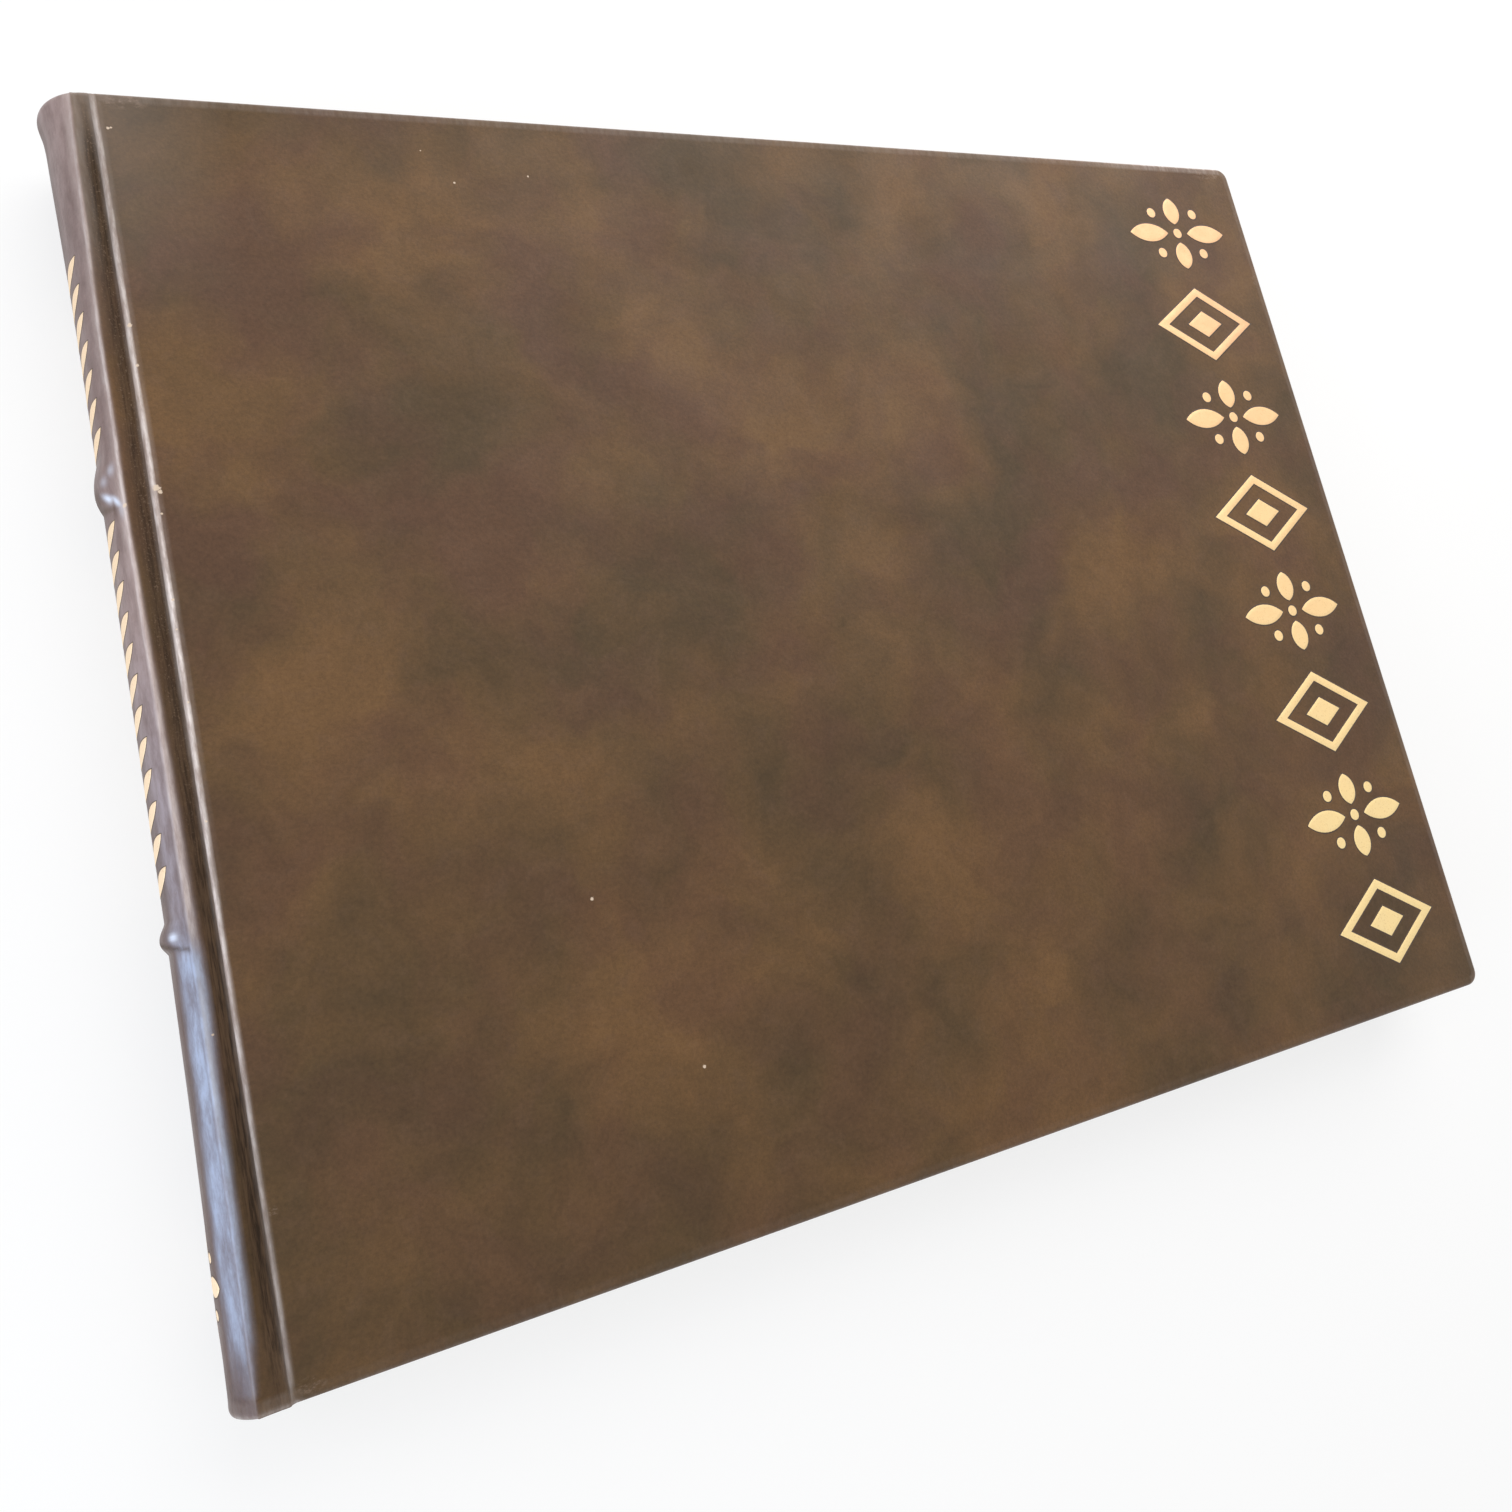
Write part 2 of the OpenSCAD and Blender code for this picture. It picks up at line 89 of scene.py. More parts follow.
class Graph:
    """A short way to write a node material."""

    def __init__(self, name, rest=False, **settings):
        self.material = bpy.data.materials.new(name)
        self.material.use_nodes = True
        self.tree = self.material.node_tree
        self.tree.nodes.clear()
        self.out = self.add("ShaderNodeOutputMaterial")
        self.shader = self.add("ShaderNodeBsdfPrincipled")
        self.join(self.shader.outputs[0], self.out.inputs["Surface"])
        for key, value in settings.items():
            self.shader.inputs[key.replace("_", " ")].default_value = value
        if rest:
            self.here = self.add("ShaderNodeAttribute", attribute_name="rest_place").outputs["Vector"]
        else:
            self.here = self.add("ShaderNodeTexCoord").outputs["Object"]
        split = self.add("ShaderNodeSeparateXYZ")
        self.join(self.here, split.inputs[0])
        self.x, self.y, self.z = split.outputs

    def add(self, kind, **settings):
        node = self.tree.nodes.new(kind)
        for key, value in settings.items():
            setattr(node, key, value)
        return node

    def join(self, a, b):
        self.tree.links.new(a, b)

    def feed(self, socket, value):
        if isinstance(value, bpy.types.NodeSocket):
            self.join(value, socket)
        elif value is not None:
            socket.default_value = value

    def math(self, kind, a, b=None, c=None, clamp=False):
        node = self.add("ShaderNodeMath", operation=kind, use_clamp=clamp)
        for i, value in enumerate((a, b, c)):
            self.feed(node.inputs[i], value)
        return node.outputs[0]

    def scaled(self, x, y, z):
        """The place stretched along each axis, for a streaked noise."""
        node = self.add("ShaderNodeMapping")
        self.join(self.here, node.inputs["Vector"])
        node.inputs["Scale"].default_value = (x, y, z)
        return node.outputs[0]

    def vector(self, kind, *values):
        node = self.add("ShaderNodeVectorMath", operation=kind)
        for socket, value in zip(node.inputs, values):
            self.feed(socket, value)
        return node.outputs["Value" if kind == "DOT_PRODUCT" else "Vector"]

    def least(self, values):
        """The smallest of several values."""
        out = values[0]
        for value in values[1:]:
            out = self.math("MINIMUM", out, value)
        return out

    def noise(self, scale, detail=2.0, rough=0.5, vector=None):
        node = self.add("ShaderNodeTexNoise")
        self.join(vector or self.here, node.inputs["Vector"])
        node.inputs["Scale"].default_value = scale
        node.inputs["Detail"].default_value = detail
        node.inputs["Roughness"].default_value = rough
        return node.outputs["Fac"]

    def cells(self, scale):
        node = self.add("ShaderNodeTexVoronoi")
        self.join(self.here, node.inputs["Vector"])
        node.inputs["Scale"].default_value = scale
        return node.outputs["Distance"]

    def span(self, value, low, high, to_low=0.0, to_high=1.0):
        """The value's place between low and high, as a number between to_low and to_high."""
        node = self.add("ShaderNodeMapRange", clamp=True)
        self.feed(node.inputs["Value"], value)
        for key, number in (("From Min", low), ("From Max", high), ("To Min", to_low), ("To Max", to_high)):
            node.inputs[key].default_value = number
        return node.outputs[0]

    def mix(self, share, a, b, kind="MIX"):
        node = self.add("ShaderNodeMix", data_type="RGBA", blend_type=kind)
        self.feed(node.inputs[0], share)
        for socket, value in ((node.inputs[6], a), (node.inputs[7], b)):
            if isinstance(value, tuple):
                value = (*value, 1.0)
            self.feed(socket, value)
        return node.outputs[2]

    def bump(self, height, strength, distance):
        node = self.add("ShaderNodeBump")
        node.inputs["Strength"].default_value = strength
        node.inputs["Distance"].default_value = distance
        self.feed(node.inputs["Height"], height)
        return node.outputs[0]

    def set(self, key, value):
        self.feed(self.shader.inputs[key], value)

    def ovals(self, places):
        """Squared distance from the nearest of several ovals on the cover, 1 at its rim."""
        flat = self.add("ShaderNodeCombineXYZ")
        self.join(self.x, flat.inputs[0])
        self.join(self.y, flat.inputs[1])
        squares = []
        for x, y, rx, ry in places:
            px, py, _ = (float(v) for v in place(x, y, 0)[0])
            scale, shift = (1 / (rx * MM), 1 / (ry * MM), 0.0), (-px / (rx * MM), -py / (ry * MM), 0.0)
            away = self.vector("MULTIPLY_ADD", flat.outputs[0], scale, shift)
            squares.append(self.vector("DOT_PRODUCT", away, away))
        return self.least(squares)


def srgb(r, g, b):
    """A colour written in the usual 0 to 255, as linear light."""
    return tuple(((c / 255 + 0.055) / 1.055) ** 2.4 if c > 10 else c / 255 / 12.92 for c in (r, g, b))


# Small chips and specks on the front, as (x, y, radius).
SPECKS = (
    (65.9, 223.6, 0.25), (60.2, 230.9, 0.17), (82.1, 226.0, 0.25), (64.2, 69.6, 0.4), (79.1, 33.6, 0.38),
    (255.9, 100.6, 0.22), (2.5, 232.0, 0.3), (0.9, 190.8, 0.5), (1.2, 182.6, 0.35), (1.2, 158.4, 0.7),
    (1.4, 153.4, 0.25), (-4.3, 155.7, 0.45), (1.7, 157.6, 0.45), (3.0, 232.1, 0.22),
    (0.9, 118.0, 0.2), (0.8, 96.5, 0.25), (-3.2, 60.5, 0.22), (1.0, 137.0, 0.3), (0.9, 131.5, 0.2),
)
# Scuffed places on the front, as (x, y, half width, half height).
SCUFFS = (
    (5.5, 238.4, 5.5, 2.4), (3.3, 2.2, 2.6, 1.5), (283.0, 237.6, 9.0, 1.8), (232.0, 239.0, 40.0, 1.0),
    (289.6, 225.0, 1.6, 3.4), (289.4, 203.5, 1.7, 2.8), (1.7, 30.2, 1.0, 1.0),
)
# The noise that bends the mottle, and the shift that sets the red patches apart from the brown ones.
WARP_SCALE, WARP_REACH, SECOND_PLACE = 42.0, 0.022, (0.31, 0.17, 0.05)


class Leather(Graph):
    """Mottled brown leather. Vertex marks say where it has painted shade and stain, wear and painted
    highlight, painted sheen and painted glints, and where it is on the spine.
    """

    def __init__(self, name, gloss_level):
        super().__init__(name, rest=True, Specular_IOR_Level=gloss_level)
        self.across = self.math("MULTIPLY_ADD", self.x, 1 / MM, -float(ORIGIN.x) / MM)
        self.along = self.math("MULTIPLY_ADD", self.y, 1 / MM, -float(ORIGIN.y) / MM)
        self.front = self.span(self.z, float(ORIGIN.z) - 0.002, float(ORIGIN.z) - 0.001)
        self.stain, self.rub, self.spine, self.bloom, self.glint = (
            self.add("ShaderNodeAttribute", attribute_name=key).outputs["Fac"] for key in MARKS
        )
        self.add_noises()
        colour = self.chips(self.with_painted_sheen(self.rubbed(self.stained(self.mottled()))))
        self.set("Base Color", colour)
        self.gloss_and_grain()

    def add_noises(self):
        """The noises that the steps below share."""
        warp = self.add("ShaderNodeTexNoise")
        self.join(self.here, warp.inputs["Vector"])
        warp.inputs["Scale"].default_value = WARP_SCALE
        warp.inputs["Detail"].default_value = 3.0
        bent = self.vector("MULTIPLY_ADD", warp.outputs["Color"], (WARP_REACH,) * 3, self.here)
        apart = self.vector("ADD", bent, SECOND_PLACE)
        self.large = self.noise(25.0, 3.0, 0.55, bent)
        self.tint = self.noise(36.0, 3.0, 0.55, apart)
        self.sponge = self.noise(85.0, 3.0, 0.6, bent)
        self.small = self.noise(260.0, 4.0, 0.65, apart)
        self.fine = self.noise(1500.0, 3.0, 0.75)
        self.ragged = self.noise(2600.0, 2.0, 0.6)
        self.streak = self.noise(1.0, 4.0, 0.65, self.scaled(2600.0, 160.0, 2600.0))
        self.lengthwise = self.noise(1.0, 4.0, 0.7, self.scaled(900.0, 170.0, 900.0))
        self.sheen_veil = self.noise(1.0, 5.0, 0.7, self.scaled(380.0, 110.0, 380.0))
        self.flecks = self.noise(1.0, 5.0, 0.75, self.scaled(520.0, 900.0, 520.0))
        self.patchy = self.noise(1.0, 4.0, 0.6, self.scaled(420.0, 90.0, 420.0))

    def mottled(self):
        """The cover's sponged olive, brown and red patches, and the spine's plainer red-brown."""
        colour = self.mix(self.span(self.large, 0.38, 0.64), srgb(78, 60, 38), srgb(108, 79, 49))
        headward = self.span(self.along, 20.0, 150.0, 0.45, 0.8)
        redder = self.math("MULTIPLY", self.span(self.tint, 0.44, 0.64), headward)
        colour = self.mix(redder, colour, srgb(89, 62, 45))
        colour = self.mix(self.span(self.small, 0.5, 0.75, 0.0, 0.3), colour, srgb(92, 70, 54))
        panel = self.mix(self.span(self.large, 0.36, 0.66), srgb(84, 63, 57), srgb(98, 76, 70))
        colour = self.mix(self.spine, colour, panel)
        shade = self.span(self.sponge, 0.3, 0.7, 0.91, 1.09)
        for source, low, high, darkest, lightest in (
            (self.small, 0.25, 0.75, 0.92, 1.08),
            # painted shade: a little darker toward the tail
            (self.along, 0.0, 110.0, 0.965, 1.0),
            (self.fine, 0.25, 0.75, 0.78, 1.22),
        ):
            shade = self.math("MULTIPLY", shade, self.span(source, low, high, darkest, lightest))
        grey = self.add("ShaderNodeCombineColor")
        for socket in grey.inputs[:3]:
            self.join(shade, socket)
        return self.mix(1.0, colour, grey.outputs[0], "MULTIPLY")

    def stained(self, colour):
        """Painted shade, streaked dark, in the groove and in the bands' creases, with pale crumbs in the
        groove toward the head.
        """
        deep = self.mix(self.span(self.streak, 0.4, 0.62), srgb(44, 31, 20), srgb(88, 68, 50))
        colour = self.mix(self.math("MULTIPLY", self.stain, 0.95), colour, deep)
        crumbs = self.span(self.ragged, 0.58, 0.72, 0.0, 0.5)
        for limit in (self.span(self.stain, 0.1, 0.5), self.span(self.along, 80.0, 130.0)):
            crumbs = self.math("MULTIPLY", crumbs, limit)
        return self.mix(crumbs, colour, srgb(142, 118, 98))

    def rubbed(self, colour):
        """Wear and painted highlight along the edges, and a painted highlight along the spine's ridge, in a
        pale worn colour.
        """
        worn_and_lit = self.mix(self.span(self.lengthwise, 0.4, 0.62), srgb(214, 196, 188), srgb(250, 237, 230))
        broken = self.span(self.lengthwise, 0.3, 0.6, 0.7, 1.0)
        return self.mix(self.math("MULTIPLY", self.rub, broken, clamp=True), colour, worn_and_lit)

    def with_painted_sheen(self, colour):
        """Painted sheen on the spine, bluish toward the tail and warm toward the head, and painted glints on
        the bands.
        """
        patches = self.span(self.sheen_veil, 0.35, 0.65)
        cool = self.mix(patches, srgb(143, 145, 162), srgb(174, 186, 212))
        warm = self.mix(patches, srgb(152, 130, 126), srgb(176, 154, 150))
        past_band = self.span(self.along, 73.0, 82.0, 0.0, 0.6)
        toward_head = self.span(self.along, 84.0, 135.0, 0.0, 0.4)
        warmth = self.math("ADD", past_band, toward_head)
        bloom = self.math("MULTIPLY", self.bloom, self.span(self.sheen_veil, 0.25, 0.6, 0.6, 1.0), clamp=True)
        colour = self.mix(bloom, colour, self.mix(warmth, cool, warm))
        glint = self.math("MULTIPLY", self.glint, self.span(self.sheen_veil, 0.25, 0.6, 0.8, 1.0))
        return self.mix(glint, colour, srgb(226, 233, 250))

    def chips(self, colour):
        """Scuffs, specks and a faint painted sheen near the head of the joint edge, all on the front only.
        """
        scuffs = self.span(self.ovals(SCUFFS), 0.1, 1.0, 1.0, 0.0)
        scuffs = self.math("MULTIPLY", scuffs, self.span(self.flecks, 0.48, 0.64))
        self.scuffs = self.math("MULTIPLY", scuffs, self.front)
        colour = self.mix(self.math("MULTIPLY", self.scuffs, 0.5), colour, srgb(158, 134, 118))
        away = self.math("SQRT", self.ovals([(x, y, r, r) for x, y, r in SPECKS]))
        away = self.math("MULTIPLY_ADD", self.math("SUBTRACT", self.ragged, 0.5), 1.4, away)
        specks = self.math("MULTIPLY", self.span(away, 0.65, 1.0, 1.0, 0.0), self.front)
        colour = self.mix(self.math("MULTIPLY", specks, 0.9), colour, srgb(226, 204, 180))
        # painted sheen near the head of the joint edge
        painted_head_sheen = self.span(self.across, 24.0, 4.0, 0.0, 0.1)
        for limit in (self.span(self.along, 185.0, 235.0), self.front):
            painted_head_sheen = self.math("MULTIPLY", painted_head_sheen, limit)
        return self.mix(painted_head_sheen, colour, srgb(212, 198, 190))

    def gloss_and_grain(self):
        """Roughness, lower where hands polish the spine, and the grain, streaks and scuffs as bump."""
        flat = self.span(self.noise(60.0, 3.0), 0.3, 0.7, 0.46, 0.58)
        gloss = self.math("MULTIPLY_ADD", self.span(self.patchy, 0.3, 0.7, -0.2, -0.06), self.spine, flat)
        self.set("Roughness", self.math("MULTIPLY_ADD", self.stain, 0.22, gloss))
        height = self.math("MULTIPLY", self.fine, 0.8)
        for source, share in (
            (self.cells(1100.0), 0.45),
            (self.math("MULTIPLY", self.streak, self.stain), 1.8),
            (self.math("MULTIPLY", self.patchy, self.spine), 2.0),
            (self.scuffs, 0.8),
        ):
            height = self.math("MULTIPLY_ADD", source, share, height)
        self.set("Normal", self.bump(height, 0.3, 0.00014))


def gold(name, pale, deep):
    """Stamped foil, deeper toward the head as painted shade against the head lamp's highlight, and paler
    toward the tail.
    """
    g = Graph(name, Metallic=0.7)
    wear = g.noise(420.0, 4.0, 0.65)
    fine = g.noise(2400.0, 2.0, 0.6)
    tone = g.span(g.noise(20.0, 1.0), 0.35, 0.65, -0.15, 0.15)
    colour = g.mix(g.math("ADD", g.span(g.y, 0.11, -0.11), tone, clamp=True), deep, pale)
    colour = g.mix(g.span(fine, 0.58, 0.72, 0.0, 0.35), colour, srgb(190, 150, 96))
    g.set("Base Color", colour)
    g.set("Roughness", g.span(wear, 0.3, 0.7, 0.52, 0.68))
    g.set("Normal", g.bump(fine, 0.25, 0.0001))
    return g.material


def stamp_line_and_shade(name):
    """The dark line round the foil: leather darkened by the hot stamp, and painted shade of the stamped
    hollow.
    """
    g = Graph(name, Roughness=0.6)
    g.set("Base Color", g.mix(g.noise(600.0), srgb(58, 42, 30), srgb(74, 54, 38)))
    return g.material


def paper(name, edge=False):
    """Endpaper, or the trimmed edges of the leaves with their fine lines."""
    g = Graph(name, Roughness=0.85)
    if edge:
        lines = g.noise(1.0, 3.0, 0.7, g.scaled(30.0, 30.0, 7000.0))
        broad = g.noise(1.0, 2.0, 0.5, g.scaled(12.0, 12.0, 900.0))
        colour = g.mix(g.span(lines, 0.35, 0.65), srgb(216, 198, 166), srgb(246, 236, 212))
        colour = g.mix(g.span(broad, 0.4, 0.7, 0.0, 0.35), colour, srgb(200, 178, 142))
        g.set("Normal", g.bump(lines, 0.6, 0.00015))
    else:
        fibre = g.noise(700.0, 5.0, 0.7)
        cloud = g.noise(9.0, 3.0, 0.5)
        colour = g.mix(g.span(cloud, 0.35, 0.65), srgb(232, 222, 200), srgb(240, 232, 212))
        colour = g.mix(g.span(fibre, 0.55, 0.75, 0.0, 0.25), colour, srgb(206, 192, 164))
        g.set("Normal", g.bump(fibre, 0.25, 0.00008))
    g.set("Base Color", colour)
    return g.material


def card(name):
    """Speckled grey board."""
    g = Graph(name, Roughness=0.9)
    speck = g.noise(1100.0, 4.0, 0.7)
    g.set("Base Color", g.mix(g.span(speck, 0.35, 0.65), srgb(128, 116, 98), srgb(158, 146, 126)))
    g.set("Normal", g.bump(speck, 0.4, 0.0001))
    return g.material


def weave(name):
    """Open-weave cotton."""
    g = Graph(name, Roughness=0.9)
    across = g.add("ShaderNodeTexWave", bands_direction="Y", wave_profile="SIN")
    along = g.add("ShaderNodeTexWave", bands_direction="X", wave_profile="SIN")
    for node in (across, along):
        g.join(g.here, node.inputs["Vector"])
        node.inputs["Scale"].default_value = 320.0
        node.inputs["Distortion"].default_value = 0.3
    net = g.math("MAXIMUM", across.outputs["Fac"], along.outputs["Fac"])
    g.set("Base Color", g.mix(net, srgb(150, 142, 124), srgb(226, 220, 204)))
    g.set("Normal", g.bump(net, 0.5, 0.0002))
    return g.material


def silk(name):
    """Thread wound in two colours."""
    g = Graph(name, Roughness=0.5)
    wound = g.add("ShaderNodeTexWave", bands_direction="Z", wave_profile="SIN")
    g.join(g.here, wound.inputs["Vector"])
    wound.inputs["Scale"].default_value = 260.0
    thread = g.add("ShaderNodeTexWave", bands_direction="Z", wave_profile="SIN")
    g.join(g.here, thread.inputs["Vector"])
    thread.inputs["Scale"].default_value = 1500.0
    colour = g.mix(g.span(wound.outputs["Fac"], 0.45, 0.55), srgb(120, 74, 44), srgb(222, 204, 160))
    g.set("Base Color", colour)
    g.set("Normal", g.bump(thread.outputs["Fac"], 0.6, 0.0002))
    return g.material


COVER = Leather("cover_leather_look", 0.22).material
SPINE = Leather("spine_leather_look", 0.2).material
GOLD = gold("gold_look", srgb(239, 214, 158), srgb(227, 184, 142))
PALE_GOLD = gold("pale_gold_look", srgb(240, 216, 184), srgb(236, 210, 178))
STAMP_LINE_AND_SHADE = stamp_line_and_shade("stamp_line_and_shade_look")
EDGES = paper("page_edge_look", edge=True)
ENDPAPER = paper("endpaper_look")
CARD = card("card_look")
MULL = weave("mull_look")
SILK = silk("silk_look")

for names, look in (
    ("text_block", EDGES),
    ("front_flyleaf back_flyleaf front_pastedown back_pastedown", ENDPAPER),
    ("front_board back_board spine_stiffener spine_lining raised_band_upper raised_band_lower", CARD),
    ("spine_mull front_mull_flange back_mull_flange", MULL),
    ("head_band tail_band", SILK),
):
    for name in names.split():
        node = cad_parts[name]
        node.data.materials.clear()
        node.data.materials.append(look)

# Leather skin

# How far the spine stands out from the cover's joint edge at each height, without its bands.
SPINE_Y = (-1.5, 1, 8, 18, 30, 50, 78, 188, 204, 218, 228, 234, 237.5, 239.5, 241.5)
SPINE_OUT = (10.5, 10.15, 10.0, 10.0, 9.75, 9.4, 9.1, 9.1, 9.25, 9.5, 9.72, 9.8, 10.1, 10.6, 10.9)


def apex(y):
    """How far the spine stands out at a height, with its bands and flared ends."""
    out = sum(np.interp(y + d, SPINE_Y, SPINE_OUT) for d in (-1.2, -0.6, 0.0, 0.6, 1.2)) / 5
    for middle, low_half, high_half, rise in BANDS:
        t = np.clip((y - middle) / np.where(y < middle, low_half, high_half), -1, 1)
        out = out + rise * (1 - np.abs(t) ** 2.2) ** 1.6
    return out


def ridge(y):
    """Distance of the shoulder's ridge from the cover's joint edge."""
    return np.interp(y, (0, 5, 30, 120, 200, 232, 240), (4.9, 4.85, 4.5, 4.1, 3.9, 3.3, 3.0))


def depth(y):
    """Depth of the groove, which runs out at head and tail."""
    inner = np.maximum(np.minimum(y, COVER_H - y), 0)
    return 0.75 + 1.35 * smooth((inner + 1) / 18)


def bezier(p0, p1, p2, p3, steps):
    """Points of a curve from p0 to p3, without p0 itself."""
    ts = np.linspace(0, 1, steps + 1)[1:]
    return [
        tuple((1 - t) ** 3 * a + 3 * (1 - t) ** 2 * t * b + 3 * (1 - t) * t * t * c + t**3 * d
              for a, b, c, d in zip(p0, p1, p2, p3))
        for t in ts
    ]


FLAT_X = np.concatenate([np.linspace(COVER_W - CORNER, 8, 92), [6.0, 4.2, 3.0, 2.2]])
# Columns of the rounded edge, the groove's two sides, the turn over the ridge, and the spine's arc.
EDGE_COLUMNS, FALL_COLUMNS, RISE_COLUMNS, TURN_COLUMNS, ARC_COLUMNS = 8, 6, 12, 5, 24
ROUND_R = 1.35
HALF_T = BOOK_T / 2
GROOVE_X = -1.15


def ridge_drop(y):
    """Distance of the shoulder's ridge below the cover's face, more at the head where it rounds off."""
    return RIDGE_DROP + 0.4 * float(smooth((y - 222) / 16))


def spine_circle(y):
    """Radius, centre and half angle of the spine's section at a height."""
    s, h = apex(y) - ridge(y), HALF_T - ridge_drop(y)
    r = (h * h + s * s) / (2 * s)
    return r, r - apex(y), math.asin(h / r)


def half_section(y):
    """(x, z) from the fore edge over the groove to the middle of the spine."""
    pts = [(x, 0.0) for x in FLAT_X]
    for a in np.radians(np.linspace(0, 90, EDGE_COLUMNS)):
        pts.append((ROUND_R - ROUND_R * math.sin(a), -ROUND_R + ROUND_R * math.cos(a)))
    d, rx = float(depth(y)), float(ridge(y))
    squeeze = min((d - 0.3) / ROUND_R, 1.0)
    pts = [(x, z * squeeze) for x, z in pts]
    start = pts[-1]
    leave = (start[0], start[1] * 0.6 - d * 0.4)
    pts += bezier(start, leave, (GROOVE_X + 0.75, -d), (GROOVE_X, -d), FALL_COLUMNS)
    r, cx, amax = spine_circle(y)
    a1 = amax - math.radians(3.5)
    top = (-rx + 0.05, 0.06 - ridge_drop(y))
    pts += bezier((GROOVE_X, -d), (GROOVE_X - 0.9, -d), (top[0] + 0.55, top[1] - 0.12), top, RISE_COLUMNS)
    on = (cx - r * math.cos(a1), -HALF_T + r * math.sin(a1))
    arrive = (on[0] + 0.25 * math.sin(a1), on[1] + 0.25 * math.cos(a1))
    pts += bezier(top, (top[0] - 0.3, top[1] + 0.02), arrive, on, TURN_COLUMNS)
    for a in np.linspace(a1, 0, ARC_COLUMNS + 1)[1:]:
        pts.append((cx - r * math.cos(a), -HALF_T + r * math.sin(a)))
    return pts


N_FLAT = len(FLAT_X)
N_HALF = N_FLAT + EDGE_COLUMNS + FALL_COLUMNS + RISE_COLUMNS + TURN_COLUMNS + ARC_COLUMNS
# The column where the cover's skin ends and the spine's begins, just past the ridge.
CUT = N_HALF - ARC_COLUMNS + 2


def section(y):
    """The whole skin's section at a height, from the front's fore edge round the spine to the back's."""
    half = np.array(half_section(float(y)))
    back = half[:-1][::-1].copy()
    back[:, 1] = -BOOK_T - back[:, 1]
    return np.concatenate([half, back])


def row_places():
    """Heights of the skin's rows, closer together at the bands and at head and tail."""
    rows = set(np.round(np.linspace(CORNER, COVER_H - CORNER, 79), 3))
    for middle, low_half, high_half, _ in BANDS:
        rows |= set(np.round(np.linspace(middle - low_half * 1.5, middle + high_half * 1.5, 33), 3))
    for k in np.linspace(CORNER, 22, 20):
        rows |= {round(float(k), 3), round(COVER_H - float(k), 3)}
    rows = sorted(rows)
    kept = [rows[0]]
    for r in rows[1:]:
        if r - kept[-1] > 0.3:
            kept.append(r)
    if kept[-1] != rows[-1]:
        kept[-1] = rows[-1]
    return np.array(kept)


ROWS = row_places()
N_ROWS = len(ROWS)
N_COLS = 2 * N_HALF - 1
# Points between the two sides of each outer corner.
ARC = 7
# The cover's rounded rim above and below, and how wide and thick the turned-in leather is.
RIM_R, FOOT_R, TURN_IN, TURN_IN_T = 1.3, 0.7, 14.0, 0.4


def rings():
    """(inset, drop) of the loops from the flat face round a cover's edge to the turned-in leather."""
    out = [(2.6, 0.0), (1.9, 0.0)]
    for a in np.radians(np.linspace(0, 90, 8)):
        out.append((RIM_R - RIM_R * math.sin(a), RIM_R - RIM_R * math.cos(a)))
    out.append((0.0, 2.2))
    for a in np.radians(np.linspace(0, 90, 5)):
        out.append((FOOT_R - FOOT_R * math.cos(a), COVER_T - FOOT_R + FOOT_R * math.sin(a)))
    out += [(3.0, COVER_T), (8.0, COVER_T), (TURN_IN, COVER_T), (TURN_IN, COVER_T - TURN_IN_T)]
    return out


RINGS = rings()


def column_depths(sec):
    """For each column: how far and which way the skin's folded edge reaches inwards at head and tail."""
    step = np.gradient(sec, axis=0)
    step /= np.linalg.norm(step, axis=1)[:, None]
    inward = np.stack([-step[:, 1], step[:, 0]], 1)
    k = np.minimum(np.arange(N_COLS), N_COLS - 1 - np.arange(N_COLS))
    reach = np.interp(k, (N_FLAT + 2, N_FLAT + 12, N_HALF - 1), (COVER_T, 1.7, 2.5))
    down = np.zeros_like(inward)
    down[:, 1] = np.where(np.arange(N_COLS) < N_COLS / 2, -1.0, 1.0)
    share = smooth((k - N_FLAT - 23) / 9.0)[:, None]
    inward = down * (1 - share) + inward * share
    inward /= np.linalg.norm(inward, axis=1)[:, None]
    return inward * reach[:, None]


# Wear and painted light along the spine: height, the column where the ridge's painted highlight runs
# (counted from the cover's rounded edge), and how strong that highlight, the edge's wear and painted
# highlight, and the painted sheen are.
WEAR_AND_SHEEN = np.array((
    (0, 27.6, 0.1, 0.1, 0.02), (6, 26.1, 0.12, 0.28, 0.3), (12, 24.6, 0.15, 0.36, 0.7),
    (30, 24.4, 0.25, 0.4, 0.9), (45, 24, 0.3, 0.5, 0.85), (60, 22.9, 0.25, 0.7, 0.9),
    (74, 22.3, 0.2, 0.85, 0.95), (84, 23.1, 1.1, 0.9, 0.65), (100, 23.4, 1.2, 0.92, 0.7),
    (120, 24.5, 1.05, 1, 0.7), (140, 26.2, 1.3, 0.95, 0.7), (150, 27.2, 1.2, 0.95, 0.6),
    (160, 27.6, 0.85, 0.9, 0.5), (168, 26.8, 0.75, 0.8, 0.4), (190, 27.3, 0.6, 0.7, 0.36),
    (210, 26, 0.55, 0.65, 0.42), (225, 27.4, 0.45, 0.62, 0.48), (236, 27.8, 0.5, 0.48, 0.6),
    (240, 28.4, 0.5, 0.4, 0.6),
))
# The ridge's painted highlight: its strength at columns beside its own.
ACROSS_LINE = ((-4.2, -3, -2, -1, 0, 1, 2, 3, 4, 5, 7), (0, 0.1, 0.42, 0.9, 1, 1, 0.85, 0.6, 0.3, 0.12, 0))
